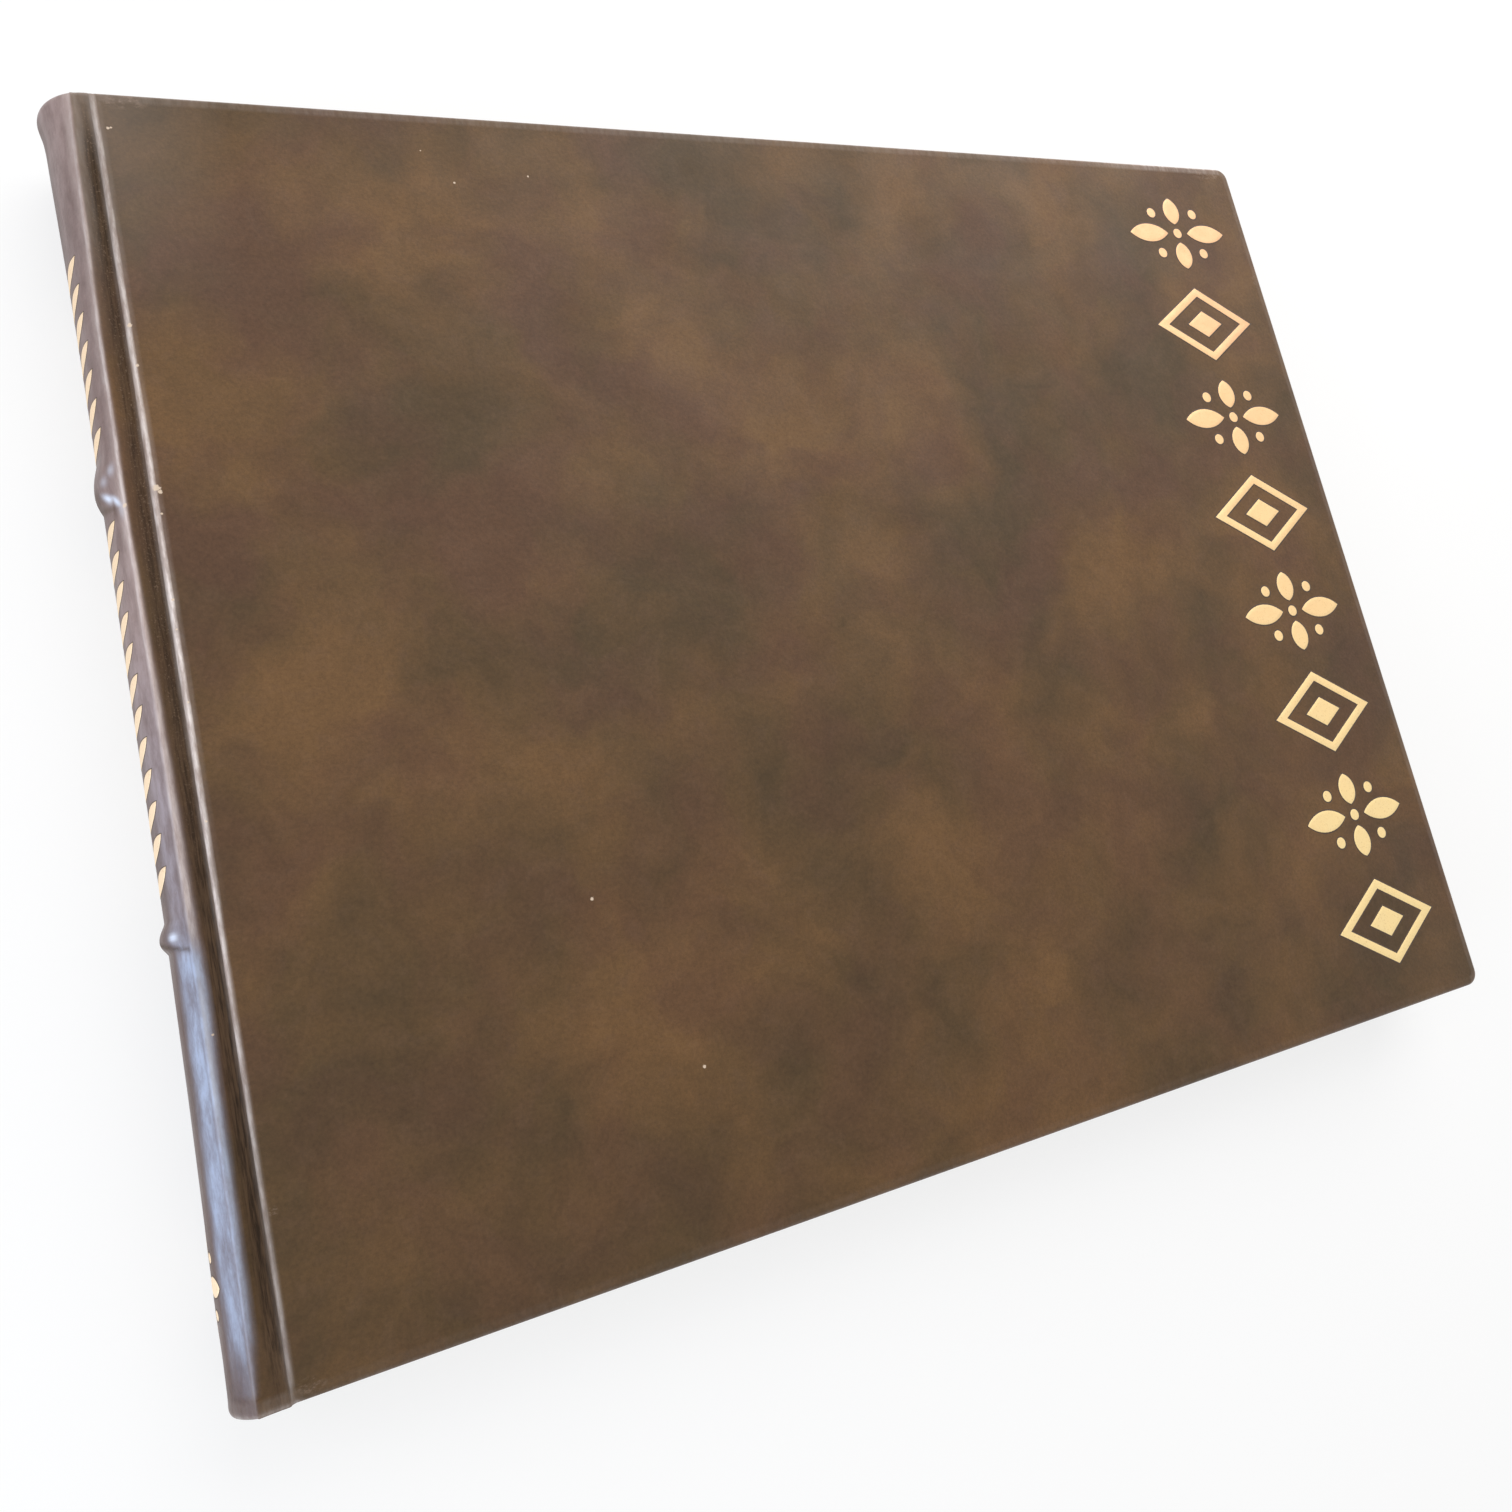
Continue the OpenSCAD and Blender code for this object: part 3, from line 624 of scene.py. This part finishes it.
# Painted highlights on the bands: height, angle, half length along y, half width in degrees, lean, share.
GLINTS = (
    (78.0, 40.0, 0.65, 5.0, 0.0, 1.0),
    (158.7, 31.5, 0.9, 5.0, -0.1, 1.0),
    (157.3, 40.0, 0.8, 5.0, -0.25, 0.9),
    (161.8, 37.0, 0.9, 5.0, 0.0, 0.3),
    (163.2, 47.0, 1.0, 4.0, 0.0, 0.35),
)
# Painted shade in the bands' creases: height, lean, half width, share, and the angles between which each
# fades.
BAND_SHADES = (
    (78.2, -0.062, 0.55, 1.0, 44, 52),
    (158.9, -0.075, 0.9, 0.8, 34, 46),
    (160.2, 0.0, 1.6, 0.5, 22, 30),
)
# Columns of the groove's painted shade and stain and of the edge's wear and painted highlight, first toward
# the head and then toward the tail.
GROOVE_SHADE_AND_STAIN = (
    ((4, 8, 11, 16, 18, 21, 24), (0, 0.35, 0.6, 0.75, 0.45, 0.12, 0)),
    ((4, 8, 11, 15, 17, 19, 21), (0, 0.6, 1, 1, 0.6, 0.1, 0)),
)
EDGE_WEAR_AND_HIGHLIGHT = (
    ((-1, 0, 1, 2, 3, 4, 6, 9, 12), (0, 0.15, 0.75, 1, 0.85, 0.72, 0.45, 0.2, 0)),
    ((0, 1, 2, 3, 4, 6, 9, 12), (0, 0.1, 0.45, 0.8, 0.95, 0.72, 0.2, 0)),
)


def column_marks(y, sec):
    """The MARKS of each column: painted shade and stain in the groove and at the bands, wear and painted
    highlight along the edge and the ridge, painted sheen and glints.
    """
    k = np.minimum(np.arange(N_COLS), N_COLS - 1 - np.arange(N_COLS)) - N_FLAT
    up = float(smooth((y - 70) / 60))
    line_at, line_rub, edge_rub, sheen_veil = (float(np.interp(y, WEAR_AND_SHEEN[:, 0], column)) for column in WEAR_AND_SHEEN.T[1:])
    stain, edge = (
        up * np.interp(k, *high) + (1 - up) * np.interp(k, *low) for high, low in (GROOVE_SHADE_AND_STAIN, EDGE_WEAR_AND_HIGHLIGHT)
    )
    shoulder = 0.12 * float(smooth((y - 195) / 25)) * np.interp(k, (14, 18, 22, 26), (0, 0.6, 1, 0))
    # wear and painted highlight along the edge, painted highlight along the ridge, and a little on the
    # shoulder near the head
    rub = edge_rub * edge + line_rub * np.interp(k - line_at, *ACROSS_LINE) + shoulder

    angle = np.degrees(np.arcsin(np.clip(np.abs(sec[:, 1] + HALF_T) / spine_circle(y)[0], 0, 1)))
    on_spine = k > 26
    # painted shade in the creases beside the bands
    band_shade = np.zeros(N_COLS)
    for at, lean, width, share, whole, gone in BAND_SHADES:
        across = np.exp(-(((y - at - lean * angle) / width) ** 2))
        band_shade = np.maximum(band_shade, share * across * smooth((gone - angle) / (gone - whole)))
    band_shade = band_shade * on_spine
    stain = np.maximum(stain * fade(y), 0.85 * band_shade)

    on_back = np.interp(k - line_at, (-4, 0), (0, 1))
    # painted sheen: bluish below the lower band, warm toward the head, fading toward the silhouette and at
    # the lower band
    bloom = sheen_veil * np.interp(k - line_at, (-5.5, -3.2, -1.2), (0, 0.25, 1)) * (1 - 0.7 * band_shade)
    bloom = bloom * ((1 - up) * smooth((angle - 24) / 15) + up * smooth((angle - 12) / 18))
    bloom = bloom * (1 - 0.35 * (1 - up) * np.exp(-(((k - 28.5) / 1.3) ** 2)))
    lower_band = math.exp(-((y - 78.0) / 2.8) ** 2)
    bloom = bloom * (1 - lower_band * (0.75 * smooth((44 - angle) / 10) + 0.45 * smooth((angle - 38) / 8)))

    # painted glints on the bands, and a painted highlight along the ridge toward the tail
    glint = np.zeros(N_COLS)
    for at, middle, length, width, lean, share in GLINTS:
        rise = (y - at - lean * (angle - middle)) / length
        glint = np.maximum(glint, share * np.exp(-((angle - middle) / width) ** 2 - rise**2) * on_spine)
    lit = 0.42 * np.interp(y, (40, 52, 66, 74), (0, 1, 1, 0))
    glint = np.maximum(glint, lit * np.exp(-(((k - line_at - 0.6) / 1.8) ** 2)))
    return stain, rub, on_back, bloom, glint


def fade(y):
    """How much of the groove's painted shade and stain is left at a height, less towards head and tail."""
    return 0.35 + 0.65 * float(smooth(min(y, COVER_H - y) / 13))


def build_skin():
    """Vertices of the one leather skin, their marks, and its faces sorted into front, spine and back."""
    verts, marked, faces = [], [], {"front": [], "spine": [], "back": []}
    grid = np.zeros((N_ROWS, N_COLS), int)
    for i, y in enumerate(ROWS):
        sec = section(y)
        marks = np.stack(column_marks(y, sec), 1)
        for j in range(N_COLS):
            grid[i, j] = len(verts)
            verts.append((sec[j, 0], y, sec[j, 1]))
            marked.append(tuple(marks[j]))

    def part(j):
        if j < CUT:
            return "front"
        return "spine" if j < N_COLS - 1 - CUT else "back"

    for i in range(N_ROWS - 1):
        for j in range(N_COLS - 1):
            faces[part(j)].append((grid[i, j], grid[i + 1, j], grid[i + 1, j + 1], grid[i, j + 1]))

    def loop(inset, drop):
        """One ring: head, the back's fore edge, tail and the front's fore edge, with a corner after each."""
        share = drop / COVER_T
        pts = []
        # wear and painted highlight along the cover's rounded rim
        edge_rub = 0.3 * math.exp(-((drop - 0.45) / 0.35) ** 2) if inset < 2.5 else 0.0

        def end_side(y_edge, sign, js):
            stain, rub, on_back, bloom, _ = column_marks(y_edge, sections_at(y_edge)["sec"])
            for j in js:
                k = min(j, N_COLS - 1 - j)
                on_spine = np.interp(k, (N_FLAT + 16, N_FLAT + 24), (0, 1))
                d = inset if share < 1 else inset * (1 - on_spine) + min(inset, 3.4) * on_spine
                proud_at = (N_FLAT + 2, N_FLAT + 10, N_FLAT + 30, N_HALF - 1)
                proud = np.interp(k, proud_at, (0, 0.4, 0.45, 1.0))
                d -= proud * smooth((3.4 - d) / 3.4)
                y = y_edge + sign * d
                sec = sections_at(y)
                p = sec["sec"][j] + sec["in"][j] * share
                pts.append((p[0], y, p[1]))
                level = 1.0
                if k < N_FLAT:
                    level = 0.3 if sign > 0 else 1.1 + 2.2 * smooth((p[0] - 235) / 25)
                worn_and_lit = max(rub[j], edge_rub * level)
                marked.append((stain[j], worn_and_lit, on_back[j], bloom[j] * (1 - share), 0.0))

        def fore_side(z_edge, sign, rows):
            for y in rows:
                pts.append((COVER_W - inset, y, z_edge + sign * drop))
                marked.append((0.0, edge_rub, 0.0, 0.0, 0.0))

        def corner(y_edge, y_sign, z_edge, z_sign, from_end):
            r = max(CORNER - inset, 0.0)
            c = max(CORNER, inset)
            for k in range(1, ARC + 1):
                a = math.pi / 2 * k / (ARC + 1)
                if not from_end:
                    a = math.pi / 2 - a
                x, y = COVER_W - c + r * math.sin(a), y_edge + y_sign * (c - r * math.cos(a))
                pts.append((x, y, z_edge + z_sign * drop))
                marked.append((0.0, edge_rub * 1.3, 0.0, 0.0, 0.0))

        end_side(COVER_H, -1, range(N_COLS))
        corner(COVER_H, -1, -BOOK_T, 1, True)
        fore_side(-BOOK_T, 1, ROWS[::-1])
        corner(0.0, 1, -BOOK_T, 1, False)
        end_side(0.0, 1, range(N_COLS - 1, -1, -1))
        corner(0.0, 1, 0.0, -1, True)
        fore_side(0.0, -1, ROWS)
        corner(COVER_H, -1, 0.0, -1, False)
        return pts

    cache = {}

    def sections_at(y):
        key = round(y, 4)
        if key not in cache:
            sec = section(y)
            cache[key] = {"sec": sec, "in": column_depths(sec)}
        return cache[key]

    first = [grid[N_ROWS - 1, j] for j in range(N_COLS)] + [grid[N_ROWS - 1, N_COLS - 1]] * ARC
    first += [grid[i, N_COLS - 1] for i in range(N_ROWS - 1, -1, -1)] + [grid[0, N_COLS - 1]] * ARC
    first += [grid[0, j] for j in range(N_COLS - 1, -1, -1)] + [grid[0, 0]] * ARC
    first += [grid[i, 0] for i in range(N_ROWS)] + [grid[N_ROWS - 1, 0]] * ARC
    owners = [part(min(j, N_COLS - 2)) for j in range(N_COLS)]
    tail = owners[:]
    owners += ["back"] * (ARC + N_ROWS + ARC)
    owners += [tail[j - 1] if j > 0 else tail[0] for j in range(N_COLS - 1, -1, -1)]
    owners += ["front"] * (ARC + N_ROWS + ARC)
    before = first
    for inset, drop in RINGS:
        now = []
        for p in loop(inset, drop):
            now.append(len(verts))
            verts.append(p)
        n = len(now)
        for k in range(n):
            m = (k + 1) % n
            face = [before[k], now[k], now[m], before[m]]
            face = [v for q, v in enumerate(face) if v != face[q - 1]]
            if len(face) > 2:
                faces[owners[k]].append(tuple(face))
        before = now
    return np.array(verts), np.array(marked), faces


def vertex_normals(co, faces):
    """Normals of the vertices, in which a larger face counts for more."""
    normals = np.zeros_like(co)
    for f in faces:
        p = co[list(f)]
        n = np.zeros(3)
        for k in range(1, len(f) - 1):
            n += np.cross(p[k] - p[0], p[k + 1] - p[0])
        for v in f:
            normals[v] += n
    length = np.linalg.norm(normals, axis=1)
    length[length == 0] = 1
    return normals / length[:, None]


def make_object(name, co, faces, look, normals=None, marked=None):
    """A mesh from frame metres; vertices that no face uses are left out."""
    used = np.unique(np.concatenate([np.array(f) for f in faces]))
    index = {int(v): k for k, v in enumerate(used)}
    mesh = bpy.data.meshes.new(name)
    mesh.from_pydata([tuple(v) for v in co[used]], [], [tuple(index[int(v)] for v in f) for f in faces])
    mesh.materials.append(look)
    mesh.polygons.foreach_set("use_smooth", [True] * len(mesh.polygons))
    mesh.update()
    rest = mesh.attributes.new("rest_place", "FLOAT_VECTOR", "POINT")
    rest.data.foreach_set("vector", co[used].astype(np.float32).ravel())
    if marked is not None:
        for k, key in enumerate(MARKS):
            attribute = mesh.attributes.new(key, "FLOAT", "POINT")
            attribute.data.foreach_set("value", marked[used, k].astype(np.float32))
    if normals is not None:
        mesh.normals_split_custom_set_from_vertices([tuple(v) for v in normals[used]])
    obj = bpy.data.objects.new(name, mesh)
    bpy.context.scene.collection.objects.link(obj)
    return obj


skin_co, skin_marks, skin_faces = build_skin()
skin_m = place(skin_co[:, 0], skin_co[:, 1], skin_co[:, 2])
# Normals of the whole skin, so that no seam shows where it is cut into three.
skin_normals = vertex_normals(skin_m, skin_faces["front"] + skin_faces["spine"] + skin_faces["back"])
probe = int(np.argmin(np.abs(skin_co - np.array([150.0, 120.0, 0.0])).sum(1)))
if skin_normals[probe][2] < 0:
    skin_normals = -skin_normals
    skin_faces = {k: [f[::-1] for f in fs] for k, fs in skin_faces.items()}

front = make_object("front_cover_leather", skin_m, skin_faces["front"], COVER, skin_normals, skin_marks)
spine = make_object("spine_cover_leather", skin_m, skin_faces["spine"], SPINE, skin_normals, skin_marks)
back = make_object("back_cover_leather", skin_m, skin_faces["back"], COVER, skin_normals, skin_marks)

# The front and back skins get their frame transform applied; the points at the ridge's middle and the
# cover's side are computed but not used.
ridge_mid, cover_side = -3.7, 0.1
for obj, body, z in ((front, "front_cover", 0.0), (back, "back_cover", -BOOK_T)):
    place(ridge_mid, 120, z)[0]
    place(cover_side, 120, z)[0]
    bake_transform(obj)
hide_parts("front_leather", "front_joint_leather")
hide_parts("back_leather", "back_joint_leather")
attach(spine, "block")
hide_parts("spine_leather")

# Gilding

# The cover's strip: its middle, the figures' width, height and distance, and a frame's line width.
STRIP_X = COVER_W - 26.2
STRIP_W, FIGURE_H, PITCH, LINE = 34.0, 22.0, 28.0, 2.2
# The spine's leaves: length, width, distance from the middle, distance along the spine, and slant.
LEAF_L, LEAF_W, LEAF_GAP, LEAF_PITCH, LEAF_SLANT = 8.0, 2.8, 1.6, 5.8, math.radians(35)


def circle(r, n=28, x=0.0, y=0.0):
    """n points of a circle round (x, y)."""
    angles = [2 * math.pi * k / n for k in range(n)]
    return [(x + r * math.cos(a), y + r * math.sin(a)) for a in angles]


def petal(length, w, n=14):
    """A leaf shape between two arcs, lying along x."""
    r = (length**2 + w**2) / (4 * w)
    half = math.asin(length / 2 / r)
    top = [(r * math.sin(a), r * math.cos(a) - (r - w / 2)) for a in np.linspace(-half, half, n)]
    return top + [(x, -y) for x, y in reversed(top[1:-1])]


LOZENGE_POINTS = 24


def lozenge(x, y):
    """LOZENGE_POINTS points in equal steps along the sides of a lozenge with half diagonals x and y."""
    p = np.array([(-x, 0), (0, -y), (x, 0), (0, y)], float)
    n = LOZENGE_POINTS // 4
    return [tuple(p[k] * (1 - t) + p[(k + 1) % 4] * t) for k in range(4) for t in np.arange(n) / n]


def turned(loop, angle=0.0, x=0.0, y=0.0):
    """The loop turned and then moved."""
    if loop is None:
        return None
    c, s = math.cos(angle), math.sin(angle)
    return [(x + c * px - s * py, y + s * px + c * py) for px, py in loop]


def grown(loop, d):
    """The loop made larger by about d all round."""
    if loop is None:
        return None
    p = np.array(loop)
    middle = p.mean(0)
    axes = np.linalg.svd(p - middle, full_matrices=False)[2]
    q = (p - middle) @ axes.T
    half = np.abs(q).max(0)
    if len(p) == LOZENGE_POINTS:
        half = np.full(2, half[0] * half[1] / math.hypot(*half))
    return [tuple(v) for v in middle + q * (1 + d / half) @ axes]


def flower(k=1.0):
    """Four petals and five dots, as (outline, hole) pairs; k scales it."""
    out = []
    for i in (-1, 1):
        out.append((turned(petal(13.6 * k, 5.6 * k), 0, i * k * (STRIP_W - 13.6) / 2, 0), None))
        out.append((turned(petal(8.2 * k, 5.6 * k), math.pi / 2, 0, i * k * (FIGURE_H - 8.2) / 2), None))
        for j in (-1, 1):
            out.append((circle(1.5 * k, 20, i * k * STRIP_W * 0.22, j * k * FIGURE_H * 0.28), None))
    out.append((circle(1.5 * k, 20), None))
    return out


def lozenge_frame():
    """An open lozenge with a small one inside."""
    x, y = STRIP_W / 2, FIGURE_H / 2
    shrink = 1 - LINE * math.hypot(x, y) / (x * y)
    return [(lozenge(x, y), lozenge(x * shrink, y * shrink)), (lozenge(x * 0.36, y * 0.36), None)]


def strip():
    """The cover's row of figures, lozenge frames and flowers by turns."""
    out = []
    for i in range(8):
        at = COVER_H / 2 + (i - 3.5) * PITCH
        figure = flower() if i % 2 else lozenge_frame()
        out += [(turned(outer, 0, STRIP_X, at), turned(hole, 0, STRIP_X, at)) for outer, hole in figure]
    return out


def leaf_row(n, start):
    """Pairs of slanted leaves along the spine, with a dot between the two of a pair."""
    out = []
    for y in start + LEAF_PITCH * np.arange(n):
        out.append((circle(0.8, 16, 0, y), None))
        for side in (-1, 1):
            angle = math.pi / 2 - side * (math.pi / 2 - LEAF_SLANT)
            x = side * LEAF_GAP + math.cos(angle) * LEAF_L / 2
            out.append((turned(petal(LEAF_L, LEAF_W), angle, x, y + math.sin(angle) * LEAF_L / 2), None))
    return out


def plates(shapes, top, thick, put, soften=0.1):
    """Thin plates with a softened rim whose faces follow the ground they lie on; put() places a point."""
    verts, faces = [], []

    def add(points, z):
        start = len(verts)
        verts.extend(put(x, y, z) for x, y in points)
        return list(range(start, start + len(points)))

    def bands(loops):
        for a, b in zip(loops, loops[1:]):
            n = len(a)
            faces.extend((a[k], a[(k + 1) % n], b[(k + 1) % n], b[k]) for k in range(n))

    for outer, hole in shapes:
        face = np.array(grown(outer, -soften))
        loops = [add(outer, top - thick), add(outer, top - soften * 0.4)]
        if hole is None:
            middle = face.mean(0)
            loops += [add(middle + (face - middle) * share, top) for share in (1.0, 0.75, 0.5, 0.25)]
            bands(loops)
            centre = add([middle], top)[0]
            n = len(outer)
            faces.extend((loops[-1][k], loops[-1][(k + 1) % n], centre) for k in range(n))
        else:
            inner = np.array(grown(hole, soften))
            loops += [add(face * (1 - t) + inner * t, top) for t in (0.0, 0.5, 1.0)]
            loops += [add(hole, top - soften * 0.4), add(hole, top - thick)]
            bands(loops)
    return np.array(verts), faces


def on_cover(x, y, z):
    """A point on the front cover's face."""
    return tuple(place(x, y, z)[0])


def on_spine(u, y, z):
    """A point on the spine's leather: u millimetres above its middle, as drawn on a flat sheet."""
    r, cx, _ = spine_circle(np.float64(y))
    a = math.asin(u / r)
    return tuple(place(cx - (r + z) * math.cos(a), y, -HALF_T + (r + z) * math.sin(a))[0])


# How far the foil and the dark line round it (stamped leather and painted shade) stand out of the leather,
# and how thick they are.
FOIL_TOP, FOIL_T, STAMP_TOP, STAMP_T = 0.03, 0.1, 0.012, 0.06


def gild(name, shapes, put, body, node):
    """Gold plates in the leather and the dark line round each of them, partly stamped leather and partly
    painted shade.
    """
    co, faces = plates(shapes, FOIL_TOP, FOIL_T, put)
    on_front = body == "front_cover"
    made = make_object(name, co, faces, GOLD if on_front else PALE_GOLD)
    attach(made, body)
    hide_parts(node)
    d = 0.3 if on_front else 0.2
    around = [(grown(outer, d), grown(hole, -d)) for outer, hole in shapes]
    co, faces = plates(around, STAMP_TOP, STAMP_T, put, 0.02)
    rim = make_object(f"{name}_rim", co, faces, STAMP_LINE_AND_SHADE)
    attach(rim, body)


gild("front_gilding_strip", strip(), on_cover, "front_cover", "front_gilding")
# Leaves between the spine's bands and above the upper one, and a small flower near the tail.
spine_marks = leaf_row(12, 85.8) + leaf_row(7, 167.8)
spine_marks += [(turned(outer, math.pi / 2, 0, 20.0), None) for outer, _ in flower(0.62)]
gild("spine_gilding_marks", spine_marks, on_spine, "block", "spine_gilding")

# Endpaper folds

# (x, z) of the fold from the flyleaf's foot up the shoulder, and from there back to the cover.
FOLD_FOOT = ((-0.1, -4.15), (-0.9, -3.75), (-1.7, -3.2), (-2.35, -2.75))
FOLD_BEND = ((-2.35, -2.75), (-1.9, -2.95), (-1.2, -3.2), (-0.5, -3.45), (0.2, -3.75), (0.9, -3.93))
# The paper's thickness, and how far the fold stops short of head and tail.
PAPER_T, FOLD_INSET = 0.15, 4.0


def fold(name, body, mirror):
    """The endpaper's fold in the joint."""
    ys = np.linspace(FOLD_INSET, COVER_H - FOLD_INSET, 40)
    made = []
    for suffix, path in (("foot", FOLD_FOOT), ("bend", FOLD_BEND)):
        verts, faces = [], []
        for y in ys:
            for x, z in path:
                verts.append((x, y, -BOOK_T - z if mirror else z))
        n = len(path)
        for i in range(len(ys) - 1):
            for j in range(n - 1):
                a = i * n + j
                face = (a, a + 1, a + n + 1, a + n)
                faces.append(face if mirror else face[::-1])
        co = np.array(verts)
        obj = make_object(f"{name}_{suffix}", place(co[:, 0], co[:, 1], co[:, 2]), faces, ENDPAPER)
        thick = obj.modifiers.new("thickness", "SOLIDIFY")
        thick.thickness = PAPER_T * MM
        thick.offset = 0
        made.append(obj)
    z = -BOOK_T if mirror else 0.0
    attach(made[0], "block")
    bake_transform(made[1], "block", body, place(-2.35, 120, z)[0], place(0.7, 120, z)[0])


fold("front_endpaper_fold", "front_cover", False)
fold("back_endpaper_fold", "back_cover", True)

# Stage, light and camera


def seen_rays(tree):
    """A socket that is 1 for what the eye, mirrors and glass show, and 0 for light on the object."""
    rays = tree.nodes.new("ShaderNodeLightPath").outputs
    total = rays["Is Camera Ray"]
    for key in ("Is Glossy Ray", "Is Transmission Ray"):
        node = tree.nodes.new("ShaderNodeMath")
        node.operation, node.use_clamp = "ADD", True
        tree.links.new(total, node.inputs[0])
        tree.links.new(rays[key], node.inputs[1])
        total = node.outputs[0]
    return total


def stage_floor():
    """A pale floor that is partly plain white to the eye and in mirrors, so its shadow stays light."""
    mesh = bpy.data.meshes.new("floor")
    half = 6.0
    corners = [(-half, -half, 0), (half, -half, 0), (half, half, 0), (-half, half, 0)]
    mesh.from_pydata(corners, [], [(0, 1, 2, 3)])
    g = Graph("floor_look", Roughness=0.9)
    seen = seen_rays(g.tree)
    white = g.add("ShaderNodeEmission")
    both = g.add("ShaderNodeMixShader")
    away = g.math("SQRT", g.math("ADD", g.math("MULTIPLY", g.x, g.x), g.math("MULTIPLY", g.y, g.y)))
    g.feed(both.inputs[0], g.math("MULTIPLY", seen, g.span(away, 0.3, 0.8, 0.7, 1.0)))
    g.join(g.shader.outputs[0], both.inputs[1])
    g.join(white.outputs[0], both.inputs[2])
    g.join(both.outputs[0], g.out.inputs["Surface"])
    g.set("Base Color", g.mix(seen, (0.8, 0.8, 0.8), (1.0, 1.0, 1.0)))
    mesh.materials.append(g.material)
    obj = bpy.data.objects.new("floor", mesh)
    bpy.context.scene.collection.objects.link(obj)


def area(name, place_at, target, size, power, colour):
    """A rectangular lamp that faces its target."""
    data = bpy.data.lights.new(name, "AREA")
    data.shape = "RECTANGLE"
    data.size, data.size_y = size
    data.energy = power
    data.color = colour
    obj = bpy.data.objects.new(name, data)
    obj.location = place_at
    aim = Vector(target) - Vector(place_at)
    obj.rotation_euler = aim.to_track_quat("-Z", "Y").to_euler()
    bpy.context.scene.collection.objects.link(obj)


# Strength of the white surroundings as light on the object; to the eye they are plain white.
WORLD_LIGHT = 0.5

stage_floor()
area("head_side", (0.3, 0.58, 0.54), (0.0, 0.0, 0.0), (0.8, 0.8), 5.0, (1.0, 0.97, 0.93))
area("spine_side", (-0.95, 0.3, 0.8), (-0.1, 0.0, 0.0), (0.8, 0.8), 2.5, (0.97, 0.98, 1.0))
area("cool_window", (-0.75, -0.25, 0.22), (-0.15, -0.09, 0.01), (0.4, 0.36), 2.6, (0.72, 0.84, 1.0))
world = bpy.data.worlds.new("studio")
bpy.context.scene.world = world
world.use_nodes = True
background = world.node_tree.nodes["Background"]
background.inputs[0].default_value = (1.0, 1.0, 1.0, 1.0)
level = world.node_tree.nodes.new("ShaderNodeMapRange")
level.inputs["To Min"].default_value = WORLD_LIGHT
level.inputs["To Max"].default_value = 1.0
world.node_tree.links.new(seen_rays(world.node_tree), level.inputs["Value"])
world.node_tree.links.new(level.outputs[0], background.inputs[1])

scene = bpy.context.scene
scene.view_settings.view_transform = "Standard"

# The photograph's camera: focal length in pixels of its frame, place in cover millimetres, and the
# directions right, down and ahead.
FRAME_PX = 1512
FOCAL_PX = 1080.67
EYE = (18.22, 60.85, 206.46)
TURN = ((0.91175, -0.22112, 0.34615), (-0.15513, -0.96569, -0.20828), (0.38033, 0.1362, -0.91477))
camera_data = bpy.data.cameras.new("camera")
camera_data.sensor_width = 36.0
camera_data.lens = FOCAL_PX * camera_data.sensor_width / FRAME_PX
camera_data.clip_start = 0.005
camera = bpy.data.objects.new("camera", camera_data)
right, down, ahead = (Vector(v).normalized() for v in TURN)
facing = Matrix((right, -down, -ahead)).transposed().to_4x4()
camera.matrix_world = Matrix.Translation(Vector(place(*EYE)[0])) @ facing
scene.collection.objects.link(camera)
scene.camera = camera
